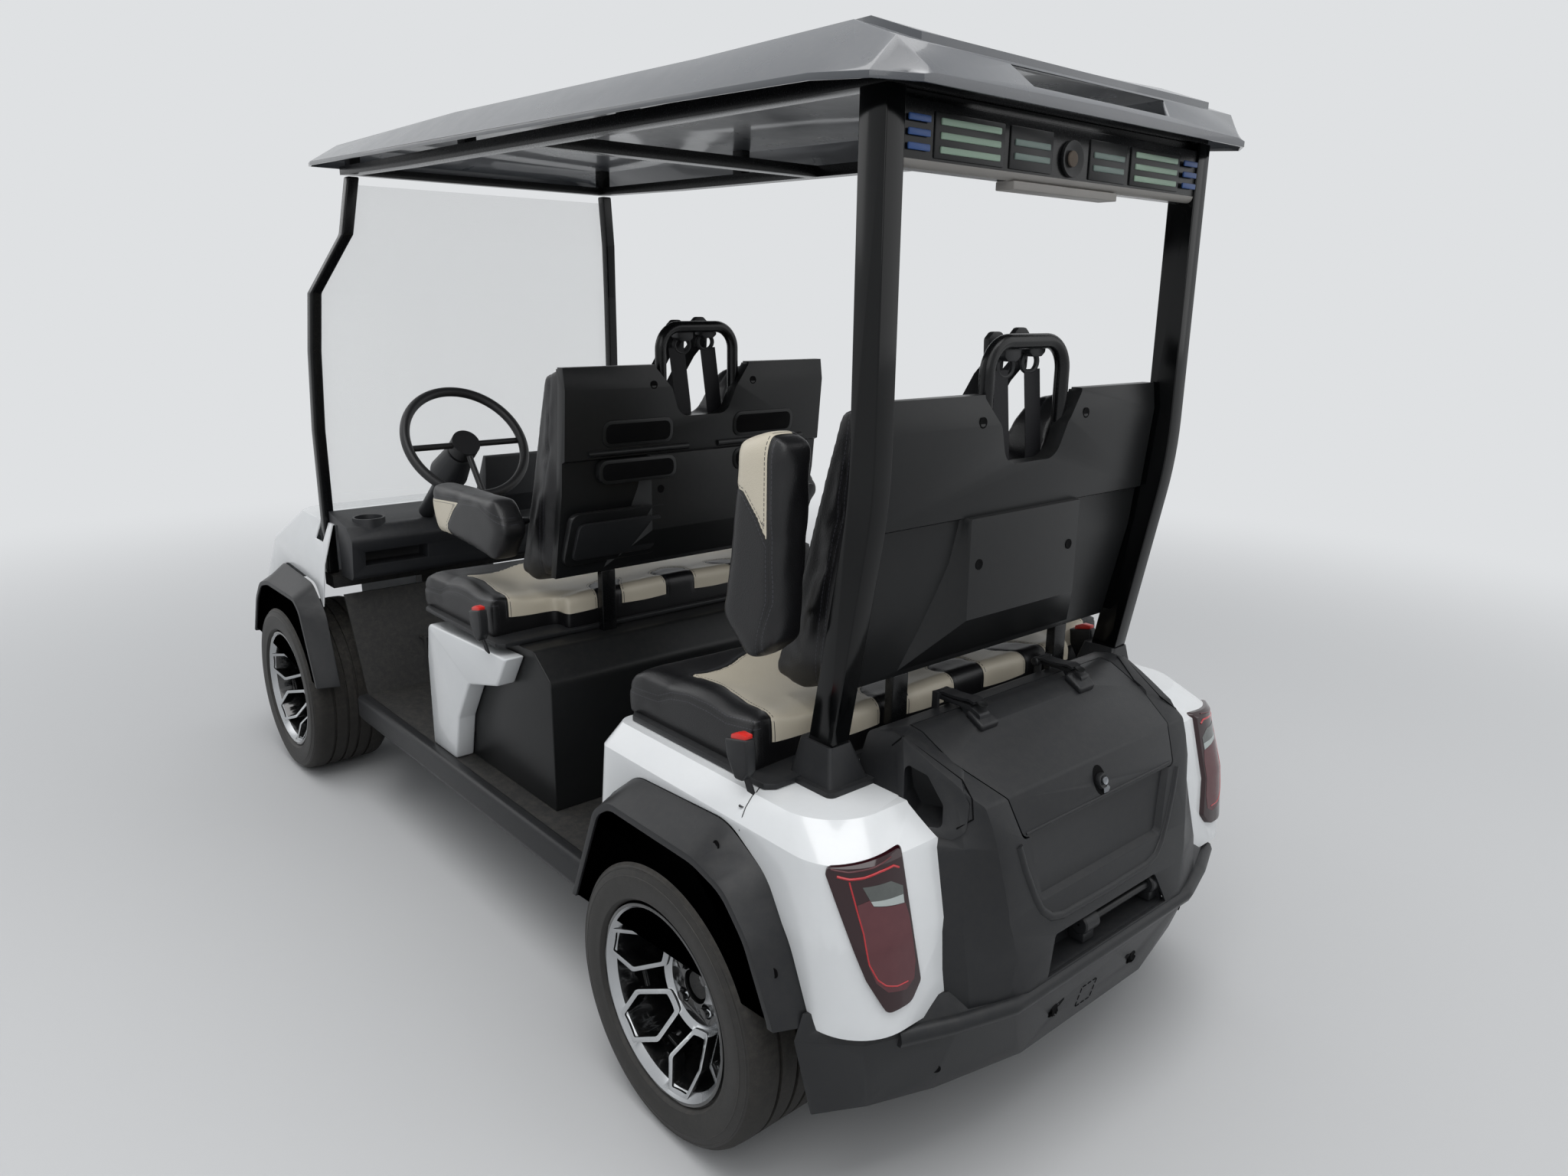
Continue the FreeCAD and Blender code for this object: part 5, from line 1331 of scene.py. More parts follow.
@dataclass
class TailLamps(Assembly):
    """What shows inside the tail lamps: reflector, light guide and reversing window."""

    way: Vector = field(default_factory=lambda: Vector((1.0, -1.0, 0.0)))
    # outlines and lines as distance along the lamp's face and height
    reflector: Outline = (
        (0.114, 0.634), (0.103, 0.585), (0.0925, 0.536), (0.08, 0.507), (0.06, 0.487), (0.03, 0.479),
        (0.017, 0.49), (0.016, 0.52), (0.022, 0.56), (0.029, 0.597), (0.036, 0.618), (0.088, 0.629),
        (0.094, 0.64))
    window: Outline = (
        (0.1065, 0.661), (0.061, 0.661), (0.041, 0.646), (0.038, 0.62), (0.088, 0.631), (0.094, 0.64))
    window_bar: Outline = (
        (0.0925, 0.638), (0.04, 0.633), (0.0378, 0.6195), (0.088, 0.6305))
    side_guide: Outline = (
        (0.128, 0.67), (0.121, 0.647), (0.112, 0.618), (0.103, 0.59), (0.098, 0.566), (0.0925, 0.54),
        (0.078, 0.512), (0.064, 0.499), (0.046, 0.492), (0.028, 0.491))
    top_guide: Outline = (
        (0.148, 0.678), (0.128, 0.674), (0.105, 0.675), (0.08, 0.68), (0.058, 0.682), (0.049, 0.676))
    # the ledge is a thin rose bar, a painted highlight along the band under the lamp's top edge
    ledge: Outline = ((0.158, 0.6885), (0.13, 0.685), (0.092, 0.688), (0.062, 0.694))

    def point(self, along: float, z: float) -> Point:
        """Point in front of the left lamp at a distance along its face and a height."""
        half = math.sqrt(0.5)
        return at((along - 0.7) * half, (along + 0.7) * half, z)

    def build(self) -> None:
        """Makes the pieces of the left lamp and mirrors them."""
        for name, outline, finish, lift in (
                ("lamp_reflector", self.reflector, ROSE_LENS_AND_LEDGE_HIGHLIGHT, 0.0008),
                ("lamp_window", self.window, GREY_LENS, 0.001),
                ("lamp_window_bar", self.window_bar, PALE_LENS, 0.0014)):
            path = [self.point(a, z) for a, z in outline]
            piece = self.cart.patch(name, "tail_lamps", path, self.way, lift, 4)
            self.cart.both(dress(piece, finish), "red_lens")
        for name, path, radius, finish in (
                ("lamp_side_guide", self.side_guide, 0.0015, RED_GUIDE),
                ("lamp_top_guide", self.top_guide, 0.0022, RED_GUIDE),
                # the rose ledge bar is a painted highlight
                ("lamp_ledge", self.ledge, 0.0016, ROSE_LENS_AND_LEDGE_HIGHLIGHT)):
            piece = self.cart.trace(name, "tail_lamps", [self.point(a, z) for a, z in path], self.way, radius)
            self.cart.both(dress(piece, finish), "red_lens")


@dataclass
class TrunkFittings(Assembly):
    """Lock, hinge pads and screws, grip bar and the joints between the trunk's mouldings."""

    # lock's dark oval well, a black plate of painted shade in place of the recess: middle y, half width, half
    # height, corners and how far it stands out
    well_y: float = 0.0005
    well_half: Flat = (0.0185, 0.0265)
    well_corners: int = 24
    well_lift: float = 0.0006
    lock_way: Point = (-1.0, 0.0, 0.25)
    # barrel and core: name, x from the rear axle and z, radius, height, depth of its socket, finish
    lock_heads: tuple[tuple[str, float, float, float, float, float, Finish], ...] = (
        ("lock_barrel", -0.466, 0.7055, 0.0146, 0.013, 0.003, GRAINED_PP),
        ("lock_core", -0.475, 0.708, 0.0078, 0.007, 0.002, ZINC))
    # dust tab under the lock: y and z
    tab: Outline = ((0.002, 0.697), (-0.009, 0.7), (-0.02, 0.693), (-0.016, 0.684), (0.0, 0.685))
    hinge_ys: Flat = (0.158, -0.15)
    # height from which lines are dropped on the lid
    above: float = 0.9
    # foot of a hinge pad: x from the rear axle, and y from the hinge's middle
    pad_foot: Outline = ((-0.329, -0.025), (-0.329, 0.025), (-0.288, 0.022), (-0.288, -0.022))
    # rubber strap of a hinge: x from the rear axle, and height above the lid
    strap: Outline = (
        (-0.3, 0.01), (-0.288, 0.009), (-0.268, 0.006), (-0.246, 0.005), (-0.226, 0.006))
    # hinge knuckle and grip collar: distance along y and radius
    knuckle: Outline = (
        (0.0, 0.001), (0.0, 0.007), (0.002, 0.009), (0.036, 0.009), (0.038, 0.007), (0.038, 0.001))
    collar: Outline = (
        (0.0, 0.002), (0.0, 0.0165), (0.003, 0.0195), (0.041, 0.0195), (0.044, 0.0165), (0.044, 0.002))
    collar_ys: Flat = (0.022, -0.206)
    # grip bar: x from the rear axle and z, both ends' y, and radius
    grip: Flat = (-0.492, 0.441)
    grip_ends: Flat = (-0.165, 0.03)
    grip_radius: float = 0.009
    # foot of a collar: y from the collar's start and z
    collar_foot: Outline = ((0.004, 0.436), (0.04, 0.436), (0.04, 0.404), (0.004, 0.404))
    # open joint round a vent pod: x from the rear axle, y and z
    pod_seam: tuple[Point, ...] = (
        (-0.269, 0.353, 0.806), (-0.287, 0.345, 0.827), (-0.398, 0.315, 0.775), (-0.43, 0.326, 0.755),
        (-0.438, 0.33, 0.722), (-0.422, 0.353, 0.706))
    # edge of the raised frame under the lid, and the lid's lip: y and z
    frame_edge: Outline = (
        (0.256, 0.664), (0.24, 0.615), (0.216, 0.56), (0.197, 0.526), (0.172, 0.505), (0.14, 0.497),
        (0.0, 0.495))
    lip: Outline = ((0.234, 0.679), (-0.234, 0.679))
    # x from the rear axle of a plane behind the trunk
    behind: float = -0.55

    def build(self) -> None:
        """Makes everything that sits on the trunk and its lid."""
        self.lock()
        self.hinge_pads()
        self.grip_bar()
        self.joints()

    def lock(self) -> None:
        """Barrel lock in a dark oval well of painted shade, with a dust tab below it."""
        turns = [math.tau * i / self.well_corners for i in range(self.well_corners)]
        oval = [(self.well_y + self.well_half[0] * math.cos(turn),
                 LOCK_Z + self.well_half[1] * math.sin(turn)) for turn in turns]
        well = slab("lock_well", [at(lid_face(z) + self.well_lift, y, z) for y, z in oval],
                    (-0.0016, 0.0, 0.0006))
        self.cart.place(dress(well, JOINT_BLACK_AND_HOLE_SHADE), "black_plastic", body="trunk_lid")
        made = [dress(button(name, at(x, 0.0, z), self.lock_way, radius, height, socket), finish)
                for name, x, z, radius, height, socket, finish in self.lock_heads]
        tab = slab("lock_tab", [at(-0.474, y, z) for y, z in self.tab], (-0.006, 0.0, -0.002))
        made.append(dress(soften(tab, 0.0015), ZINC))
        self.cart.place(join("trunk_lock", made), "black_plastic", body="trunk_lid")

    def hinge_pads(self) -> None:
        """Pad, screw and rubber strap of each lid hinge."""
        made = []
        for y in self.hinge_ys:
            foot = [self.on_lid(x, y + dy, -0.002) for x, dy in self.pad_foot]
            pad = slab("hinge_pad", foot, (-0.003, 0.0, 0.0135))
            made.append(dress(soften(pad, 0.0045, 3), GRAINED_PP))
            seat = self.on_lid(-0.309, y, 0.01)
            screw = button("hinge_screw", seat, (-0.25, 0.0, 1.0), 0.0105, 0.0035, 0.0015)
            made.append(dress(screw, MATT_SHELL))
            run = [self.on_lid(x, y, lift) for x, lift in self.strap]
            run.append(run[-1] + Vector((0.014, 0.0, -0.004)))
            made.append(dress(webbing("hinge_strap", run, (0.0, 1.0, 0.0), 0.03, 0.005), GRAINED_PP))
            middle = (run[-1].x, y - self.knuckle[-1][0] / 2, run[-1].z - 0.004)
            made.append(dress(lathe("hinge_knuckle", middle, self.knuckle, 20), GRAINED_PP))
        self.cart.place(join("lid_hinge_pads", made), "black_plastic", body="trunk_lid")

    def on_lid(self, x: float, y: float, lift: float) -> Vector | None:
        """Point above the trunk lid at an x from the rear axle and a y."""
        return self.cart.land("trunk_lid", at(x, y, self.above), DOWN, lift)

    def grip_bar(self) -> None:
        """Round bar across the grip slot between two collars."""
        x, z = self.grip
        rod = bar("grip_rod", [at(x, y, z) for y in self.grip_ends], self.grip_radius, steps=5)
        made = [dress(rod, MATT_SHELL)]
        for y in self.collar_ys:
            made.append(dress(lathe("grip_collar", at(x, y, z), self.collar, 32), GRAINED_PP))
            foot = slab("grip_foot", [at(x - 0.01, y + dy, foot_z) for dy, foot_z in self.collar_foot],
                        (0.034, 0.0, 0.0))
            made.append(dress(soften(foot, 0.003), GRAINED_PP))
        self.cart.place(join("grip_bar", made), "black_plastic")

    def joints(self) -> None:
        """Open joint round each vent pod, the edge of the raised frame and the lid's lip."""
        seam = bar("pod_seam", [at(*point) for point in self.pod_seam], 0.0014)
        self.cart.both(dress(seam, JOINT_BLACK_AND_HOLE_SHADE), "black_plastic")
        edge = self.cart.trace("frame_edge", "trunk_tub", [at(self.behind, y, z) for y, z in self.frame_edge],
                               AHEAD, 0.01, -0.005)
        self.cart.both(dress(edge, GRAINED_PP), "black_plastic")
        lip = self.cart.trace("lid_lip", "trunk_lid", [at(self.behind, y, z) for y, z in self.lip], AHEAD,
                              0.003, -0.0012)
        self.cart.place(dress(lip, GRAINED_PP), "black_plastic", body="trunk_lid")


@dataclass
class Trim(Assembly):
    """Screws, holes, joints and marks on the body panels and the bumper."""

    # screws of a wheel flare: x from the rear axle and z
    flare_screws: Outline = ((-0.13, 0.653), (-0.297, 0.492))
    deck_screw: Point = (-0.136, 0.585, 0.8)
    # screw holes in the rear of a seat shell, drawn as black discs of painted shade: y and z
    shell_holes: Outline = ((0.155, 1.357), (0.138, 1.1))
    # plates on the front seat shell: name, low and high y, low and high z, corner, how far proud, finish
    shell_plates: tuple[tuple[str, Edge, float, float, Finish], ...] = (
        ("slot_rim", (0.096, 0.299, 1.213, 1.277), 0.022, 0.003, MATT_SHELL),
        # the black hand slot plates are painted shade where the open slots show dark
        ("hand_slot", (0.104, 0.291, 1.221, 1.269), 0.016, 0.004, JOINT_BLACK_AND_HOLE_SHADE),
        ("slot_rim", (0.091, 0.314, 1.126, 1.184), 0.022, 0.003, MATT_SHELL),
        ("hand_slot", (0.099, 0.306, 1.134, 1.176), 0.016, 0.004, JOINT_BLACK_AND_HOLE_SHADE),
        ("pocket_frame", (0.12, 0.39, 0.925, 1.062), 0.02, 0.002, MATT_SHELL),
        ("pocket_face", (0.138, 0.372, 0.94, 1.036), 0.014, 0.005, GRAINED_PP))
    # ledge between the hand slots: y and z
    shell_ledge: Outline = ((0.338, 1.2), (0.047, 1.2))
    # x from the rear axle of a plane behind the front seat shell
    behind_shell: float = 0.7
    # pan under a seat cushion, one half from front to rear: x from the rear axle and y
    pan_half: Outline = (
        (0.3, 0.0), (0.3, 0.4), (0.292, 0.52), (0.262, 0.548), (-0.15, 0.548), (-0.164, 0.53),
        (-0.164, 0.0))
    pan_z: float = 0.7355
    pan_depth: float = 0.012
    # joint in the fender's deck: x from the rear axle and y
    deck_joint: Outline = ((-0.152, 0.603), (-0.146, 0.584), (-0.148, 0.562), (-0.133, 0.54))
    # tow hole, a black patch of painted shade on the bumper: y and z of its middle, its radius, and the end
    # of its slot
    tow_hole: Flat = (0.131, 0.292)
    tow_radius: float = 0.013
    tow_slot: Outline = ((0.106, 0.308), (0.103, 0.302))
    # dashed mark of the bumper: y and z of its corners, and where each dash runs on a side
    mark: Outline = ((-0.006, 0.3), (0.043, 0.3), (0.043, 0.25), (-0.006, 0.25))
    dashes: Outline = ((0.06, 0.28), (0.4, 0.62), (0.74, 0.95))
    # crest along the bumper: y of its points, and z
    crest_ys: tuple[float, ...] = (-0.5, -0.26, 0.26, 0.5)
    crest_z: float = 0.3835
    # x from the rear axle of a plane behind the bumper
    behind: float = -0.6

    def build(self) -> None:
        """Makes the small trim of both sides."""
        self.screws()
        self.fender_joint()
        self.bumper()
        self.shell_tray()
        self.pans()

    def screws(self) -> None:
        """Screw heads of the wheel flares, fenders and seat shells."""
        made = []
        for x, z in self.flare_screws:
            place = self.cart.land("wheel_flares", at(x, 0.7, z), INWARD, 0.0)
            screw = button("flare_screw", place, (0.0, 1.0, 0.15), 0.008, 0.002, 0.001)
            made.append(dress(screw, JOINT_BLACK_AND_HOLE_SHADE))
        place = self.cart.land("rear_fenders", at(*self.deck_screw), DOWN, 0.0)
        made.append(dress(button("deck_screw", place, -DOWN, 0.0055, 0.0012, 0.0006), TRAY_GREY))
        self.cart.both(join("panel_screws", made), "black_plastic")
        made = []
        for y, z in self.shell_holes:
            place = self.cart.land("seat_shells", at(-0.4, y, z), AHEAD, 0.0)
            # each shell hole is a black disc, painted shade for the inside of the hole
            made.append(dress(button("shell_hole", place, -AHEAD, 0.01, 0.0012, 0.0009), JOINT_BLACK_AND_HOLE_SHADE))
        holes = join("shell_screws", made)
        front = twin(holes, "shell_screws_front", TO_FRONT)
        self.cart.both(holes, "black_plastic")
        self.cart.both(front, "black_plastic")

    def shell_tray(self) -> None:
        """Two hand slots as black plates of painted shade, the ledge between them and the pocket on the front
        seat shell.
        """
        made = [dress(self.shell_plate(name, edge, corner, proud), finish)
                for name, edge, corner, proud, finish in self.shell_plates]
        path = [at(self.behind_shell, y, z) for y, z in self.shell_ledge]
        ledge = self.cart.trace("shell_ledge", "seat_shells", path, AHEAD, 0.008)
        made.append(dress(ledge, MATT_SHELL))
        self.cart.both(join("shell_tray", made), "black_plastic")

    def shell_plate(self, name: str, edge: Edge, corner: float, proud: float) -> Piece:
        """Plate with round corners that leans with the seat shell and stands a little proud of it.

        Args:
            name: Name of the new object.
            edge: Low and high y, low and high z.
            corner: Radius of its corners.
            proud: How far it stands out.

        Returns:
            The new plate.
        """
        low, high, foot, head = edge
        ends = []
        for z in (foot, head):
            starts = [at(self.behind_shell, low + (high - low) * i / 6, z) for i in range(7)]
            landed = [self.cart.land("seat_shells", start, AHEAD, proud) for start in starts]
            ends.append(min(point.x for point in landed if point is not None))
        outline = [(ends[0] + (ends[1] - ends[0]) * (z - foot) / (head - foot), y, z)
                   for y, z in self.round_corners(low, high, foot, head, corner)]
        return soften(slab(name, outline, (0.022, 0.0, 0.0)), 0.002)

    def round_corners(self, low: float, high: float, foot: float, head: float, corner: float) -> list[Flat]:
        """Outline of a rectangle with round corners."""
        return [(y + corner * math.cos(math.radians(turn)), z + corner * math.sin(math.radians(turn)))
                for y, z, start in ((high - corner, head - corner, 0), (low + corner, head - corner, 90),
                                    (low + corner, foot + corner, 180), (high - corner, foot + corner, 270))
                for turn in (start, start + 30, start + 60, start + 90)]

    def pans(self) -> None:
        """Moulded pan whose lip shows under each seat cushion."""
        outline = list(self.pan_half) + [(x, -y) for x, y in reversed(self.pan_half[1:-1])]
        pan = slab("cushion_pan_rear", [at(x, y, self.pan_z) for x, y in outline], (0.0, 0.0, self.pan_depth))
        dress(soften(pan, 0.003), GRAINED_PP)
        front = twin(pan, "cushion_pan_front", TO_FRONT)
        self.cart.place(pan, "black_plastic")
        self.cart.place(front, "black_plastic")

    def fender_joint(self) -> None:
        """Joint between the front and rear moulding of the fender deck."""
        path = [at(x, y, self.deck_screw[2]) for x, y in self.deck_joint]
        piece = self.cart.trace("fender_joint", "rear_fenders", path, DOWN, 0.0011)
        self.cart.both(dress(piece, TRAY_GREY), "white_plastic")

    def bumper(self) -> None:
        """Keyhole tow holes as black patches of painted shade, plugs, the dashed knock-out mark and the crest
        of the bumper.
        """
        keyhole = [(self.tow_hole[0] + self.tow_radius * math.cos(math.radians(turn)),
                    self.tow_hole[1] + self.tow_radius * math.sin(math.radians(turn)))
                   for turn in range(-160, 150, 26)]
        outline = [at(self.behind, y, z) for y, z in keyhole + list(self.tow_slot)]
        # the tow hole's black patch is painted shade for the dark inside of the hole
        hole = self.cart.patch("tow_hole", "rear_bumper", outline, AHEAD, 0.0004, 2)
        self.cart.both(dress(hole, JOINT_BLACK_AND_HOLE_SHADE), "black_plastic")
        made = []
        for (ay, az), (by, bz) in zip(self.mark, self.mark[1:] + self.mark[:1]):
            for dash in self.dashes:
                ends = [at(self.behind, ay + (by - ay) * share, az + (bz - az) * share) for share in dash]
                made.append(self.cart.trace("mark_dash", "rear_bumper", ends, AHEAD, 0.0011))
        self.cart.place(dress(join("bumper_mark", made), JOINT_BLACK_AND_HOLE_SHADE), "black_plastic")
        path = [at(self.behind, y, self.crest_z) for y in self.crest_ys]
        crest = self.cart.trace("bumper_crest", "rear_bumper", path, AHEAD, 0.017, -0.005)
        self.cart.place(dress(crest, GRAINED_PP), "black_plastic")
        plug = button("bumper_plug", at(-0.447, 0.402, 0.275), (-1.0, 0.8, -0.2), 0.0085, 0.003, 0.001)
        self.cart.both(dress(plug, JOINT_BLACK_AND_HOLE_SHADE), "black_plastic")


@dataclass
class LightBar(Assembly):
    """Diffusers and middle speaker of the bar under the rear of the roof."""

    face_x: float = -0.3
    # groups of diffusers: name, low and high y, height of each row, finish
    groups: tuple[tuple[str, float, float, tuple[float, ...], Finish], ...] = (
        ("wide", 0.195, 0.338, (1.781, 1.801, 1.821), GREEN_DIFFUSER),
        ("narrow", 0.064, 0.158, (1.788, 1.809), SMOKED_DIFFUSER),
        ("end", 0.362, 0.41, (1.781, 1.801, 1.821), BLUE_DIFFUSER))
    # raised panels behind them: low and high y, then low and high z
    panels: Outline = ((0.183, 0.35), (0.054, 0.168))
    panel_z: Flat = (1.768, 1.834)
    slat_half: float = 0.005
    speaker_z: float = 1.797

    def build(self) -> None:
        """Makes the diffusers as raised slats in their panels."""
        for name, low, high, rows, finish in self.groups:
            made = [self.block((low, high), (z - self.slat_half, z + self.slat_half), -0.002, 0.0018)
                    for z in rows]
            self.cart.both(join(f"diffusers_{name}", [dress(slat, finish) for slat in made]), "black_metal")
        frames = [dress(self.block(panel, self.panel_z, 0.001, 0.003), MATT_SHELL) for panel in self.panels]
        self.cart.both(join("diffuser_frames", frames), "black_metal")
        ring = button("speaker_ring", at(self.face_x, 0.0, self.speaker_z), -AHEAD, 0.03, 0.008, 0.005)
        cone = button("speaker_cone", at(self.face_x - 0.003, 0.0, self.speaker_z), -AHEAD, 0.013, 0.004)
        dress(ring, MATT_SHELL)
        dress(cone, SPEAKER_CONE)
        self.cart.place(join("bar_speaker", [ring, cone]), "black_metal")

    def block(self, across: Flat, heights: Flat, ahead: float, edge: float) -> Piece:
        """Diffuser or panel with round edges, 4 mm thick, that starts a little ahead of the bar's face."""
        (low, high), (foot, head) = across, heights
        outline = [at(self.face_x + ahead, y, z) for y, z in (
            (low, foot), (high, foot), (high, head), (low, head))]
        return soften(slab("diffuser", outline, (-0.004, 0.0, 0.0)), edge)


@dataclass
class BodyPanels(Assembly):
    """The moulded and welded pieces that keep their CAD form and get soft edges."""

    edges: dict[str, float] = field(default_factory=lambda: dict(NODE_EDGE))
    corner_angle: float = 22.0
    stub_radius: float = 0.0145
    stub_length: float = 0.006
    # the light bar's pale tray: its faces below this height and nearer the middle than this
    tray_top: float = 1.767
    tray_half: float = 0.21

    def build(self) -> None:
        """Rounds each node's copy and dresses it, and finishes the other nodes as they are."""
        for node, obj in self.cart.nodes.items():
            obj.data.materials.clear()
            obj.data.materials.append(NODE_FINISH[node].build())
        for node, width in self.edges.items():
            piece = self.cart.copy_node(node, node + "_skin")
            if node == "trunk_lid":
                self.flatten_lock(piece)
            self.round_edges(piece, width / 1000.0)
            dress(piece, NODE_FINISH[node])
            if node == "light_bar":
                paint_faces(piece, TRAY_PALE, self.is_tray)
            self.cart.place(piece, self.cart.slots[node], node, body=self.cart.body_of(node))

    def is_tray(self, centre: Vector, normal: Vector) -> bool:
        """True for a face of the light bar's tray."""
        return centre.z < self.tray_top and abs(centre.y) < self.tray_half

    def flatten_lock(self, obj: Piece) -> None:
        """Shortens the plain stub of the lock, which the barrel with its core then covers."""
        for vertex in obj.data.vertices:
            x, y, z = vertex.co
            end = X_REAR + lid_face(z) - self.stub_length
            if math.hypot(y, z - LOCK_Z) < self.stub_radius and x < end:
                vertex.co.x = end

    def round_edges(self, obj: Piece, width: float) -> None:
        """Bevels the corners of obj and shades it smooth."""
        apply_modifier(obj, "BEVEL", width=width, segments=3, limit_method="ANGLE",
                       angle_limit=math.radians(self.corner_angle), use_clamp_overlap=True,
                       miter_outer="MITER_ARC")
        smooth(obj, 40.0)


@dataclass
class Wheels(Assembly):
    """The four wheels: cast rims with cut faces, nuts, axle ends, drums and treaded tyres."""

    centre_y: float = 0.555
    # cut face of a spoke or the hub: radius and y of its front
    cut_profile: Outline = (
        (0.034, 0.59), (0.076, 0.59), (0.09, 0.59), (0.14, 0.64), (0.183, 0.665), (0.186, 0.672),
        (0.194, 0.672))
    cut_reach: float = 0.009
    rim_edge: float = 0.0013
    # stepped end of the axle and brake drum: distance out along the axle and radius
    axle_profile: Outline = (
        (-0.014, 0.0325), (-0.006, 0.0325), (-0.006, 0.024), (0.002, 0.0225), (0.003, 0.0155), (0.009, 0.015),
        (0.01, 0.0105), (0.014, 0.0095), (0.015, 0.0045), (0.0152, 0.0002))
    drum_profile: Outline = (
        (-0.045, 0.118), (-0.043, 0.122), (-0.03, 0.122), (-0.028, 0.116), (-0.012, 0.114), (-0.004, 0.108),
        (0.0, 0.098), (0.0, 0.082), (-0.002, 0.078), (-0.0022, 0.06))
    nut_circle: float = 0.0508
    nut_turn: float = 45.0
    nut_y: float = 0.583
    nut_radius: float = 0.0102
    nut_length: float = 0.022
    # rounded end of a nut: inset and rise of each step
    nut_dome: Outline = ((0.0012, 0.0014), (0.0022, 0.0028), (0.0026, 0.0016))
    pitches: int = 52
    # share of a pitch at each station round the tread: slot, block, sipe, block, sipe, block
    stations: tuple[float, ...] = (0.12, 0.4, 0.425, 0.7, 0.725, 1.0)
    tread_depth: float = 0.0068
    # radius from which faces may be sunk, from which they are scuffed, and from which they are swept back
    tread_radius: float = 0.2632
    road_radius: float = 0.2655
    swirl_radius: float = 0.256
    # distances from the tyre's middle plane: both grooves of a side, a shoulder's sipes, the rib's slots
    grooves: Outline = ((0.0125, 0.0215), (0.0535, 0.0625))
    shoulder_sipe: Flat = (0.071, 0.112)
    rib_slot: Flat = (0.036, 0.0525)
    # half section of the tyre from the bead outwards: distance from its middle plane and radius
    section: Outline = (
        (0.1087, 0.18), (0.11, 0.1905), (0.112, 0.1965), (0.1195, 0.2015), (0.1222, 0.204),
        (0.1228, 0.2075), (0.1226, 0.2105), (0.124, 0.22), (0.1248, 0.233), (0.125, 0.24),
        (0.1244, 0.246), (0.1249, 0.2468), (0.1246, 0.2482), (0.1236, 0.2488), (0.1222, 0.2545),
        (0.1202, 0.26), (0.1208, 0.2612), (0.1204, 0.2628), (0.1186, 0.2632), (0.1168, 0.2662),
        (0.1115, 0.2718), (0.1055, 0.2762), (0.098, 0.2787), (0.085, 0.2797), (0.072, 0.28),
        (0.064, 0.28), (0.062, 0.28), (0.054, 0.28), (0.052, 0.28), (0.037, 0.28),
        (0.021, 0.28), (0.013, 0.28), (0.004, 0.28))

    def build(self) -> None:
        """Makes the rear left wheel and repeats it at the other three corners."""
        pieces = [self.rim(), self.tyre(), self.nuts(), self.axle_end(), self.drum()]
        for end, shift in (("rear", 0.0), ("front", WHEELBASE)):
            for side in Side:
                body = f"wheel_{end}_{side.name.lower()}"
                for piece in pieces:
                    part = piece.name.removesuffix("_master")
                    node = f"{part}_{end}_{side.name.lower()}"
                    copy = twin(piece, node + "_skin", (shift, 0.0, 0.0), side is Side.RIGHT)
                    slot = "tyre" if part == "tyre" else "alloy"
                    self.cart.place(copy, slot, *([node] if node in self.cart.nodes else []), body=body)
        for piece in pieces:
            bpy.data.objects.remove(piece, do_unlink=True)

    def front_y(self, radius: float) -> float:
        """The y of the cut front at a radius."""
        for (r0, y0), (r1, y1) in zip(self.cut_profile, self.cut_profile[1:]):
            if r0 <= radius <= r1:
                return y0 + (y1 - y0) * (radius - r0) / (r1 - r0)
        return -1.0

    def rim(self) -> Piece:
        """Cast rim in gloss black, its front faces turned bright.

        Returns:
            The rear left rim.
        """
        obj = self.cart.copy_node("rim_rear_left", "rim_master")
        dress(obj, RIM_BLACK)

        def is_cut(centre: Vector, normal: Vector) -> bool:
            """True for a face on the turned front of a spoke, the hub or the lip."""
            radius = math.hypot(centre.x - X_REAR, centre.z - WHEEL_Z)
            return normal.y > 0.55 and abs(centre.y - self.front_y(radius)) < self.cut_reach

        paint_faces(obj, RIM_CUT, is_cut)
        return soften(obj, self.rim_edge)

    def nuts(self) -> Piece:
        """Four chromed nuts with domed ends in their wells.

        Returns:
            The nuts of the rear left wheel.
        """
        made = []
        for index in range(4):
            turn = math.radians(self.nut_turn + 90 * index)
            middle = (X_REAR + self.nut_circle * math.cos(turn), self.nut_y,
                      WHEEL_Z + self.nut_circle * math.sin(turn))
            bpy.ops.object.select_all(action="DESELECT")
            bpy.ops.mesh.primitive_cylinder_add(
                vertices=6, radius=self.nut_radius, depth=self.nut_length, location=middle,
                rotation=(math.radians(90), 0.0, 0.3 * index))
            nut = bpy.context.object
            bpy.ops.object.transform_apply(location=True, rotation=True, scale=True)

            def dome() -> None:
                """Draws the outer end in and out to a rounded tip."""
                for thickness, rise in self.nut_dome:
                    bpy.ops.mesh.inset(thickness=thickness)
                    bpy.ops.transform.translate(value=(0.0, rise, 0.0))

            edit(nut, dome, lambda centre, normal: normal.y > 0.9)
            apply_modifier(nut, "BEVEL", width=0.0008, segments=2, limit_method="ANGLE",
                           angle_limit=math.radians(25))
            smooth(nut, 30.0)
            made.append(nut)
        return dress(join("nuts_master", made), CHROME)

    def axle_end(self) -> Piece:
        """Stepped end of the axle and its nut, seen down the hub's bore."""
        obj = lathe("axle_end_master", (X_REAR, 0.563, WHEEL_Z), self.axle_profile, 36, 30.0)
        return dress(obj, AXLE_STEEL)

    def drum(self) -> Piece:
        """Cast brake drum behind the spokes, with a raised rim and a chamfer."""
        obj = lathe("drum_master", (X_REAR, 0.535, WHEEL_Z), self.drum_profile, 60, 30.0)
        apply_modifier(obj, "SOLIDIFY", thickness=0.004, offset=-1.0)
        smooth(obj, 30.0)
        return dress(obj, DRUM_IRON)

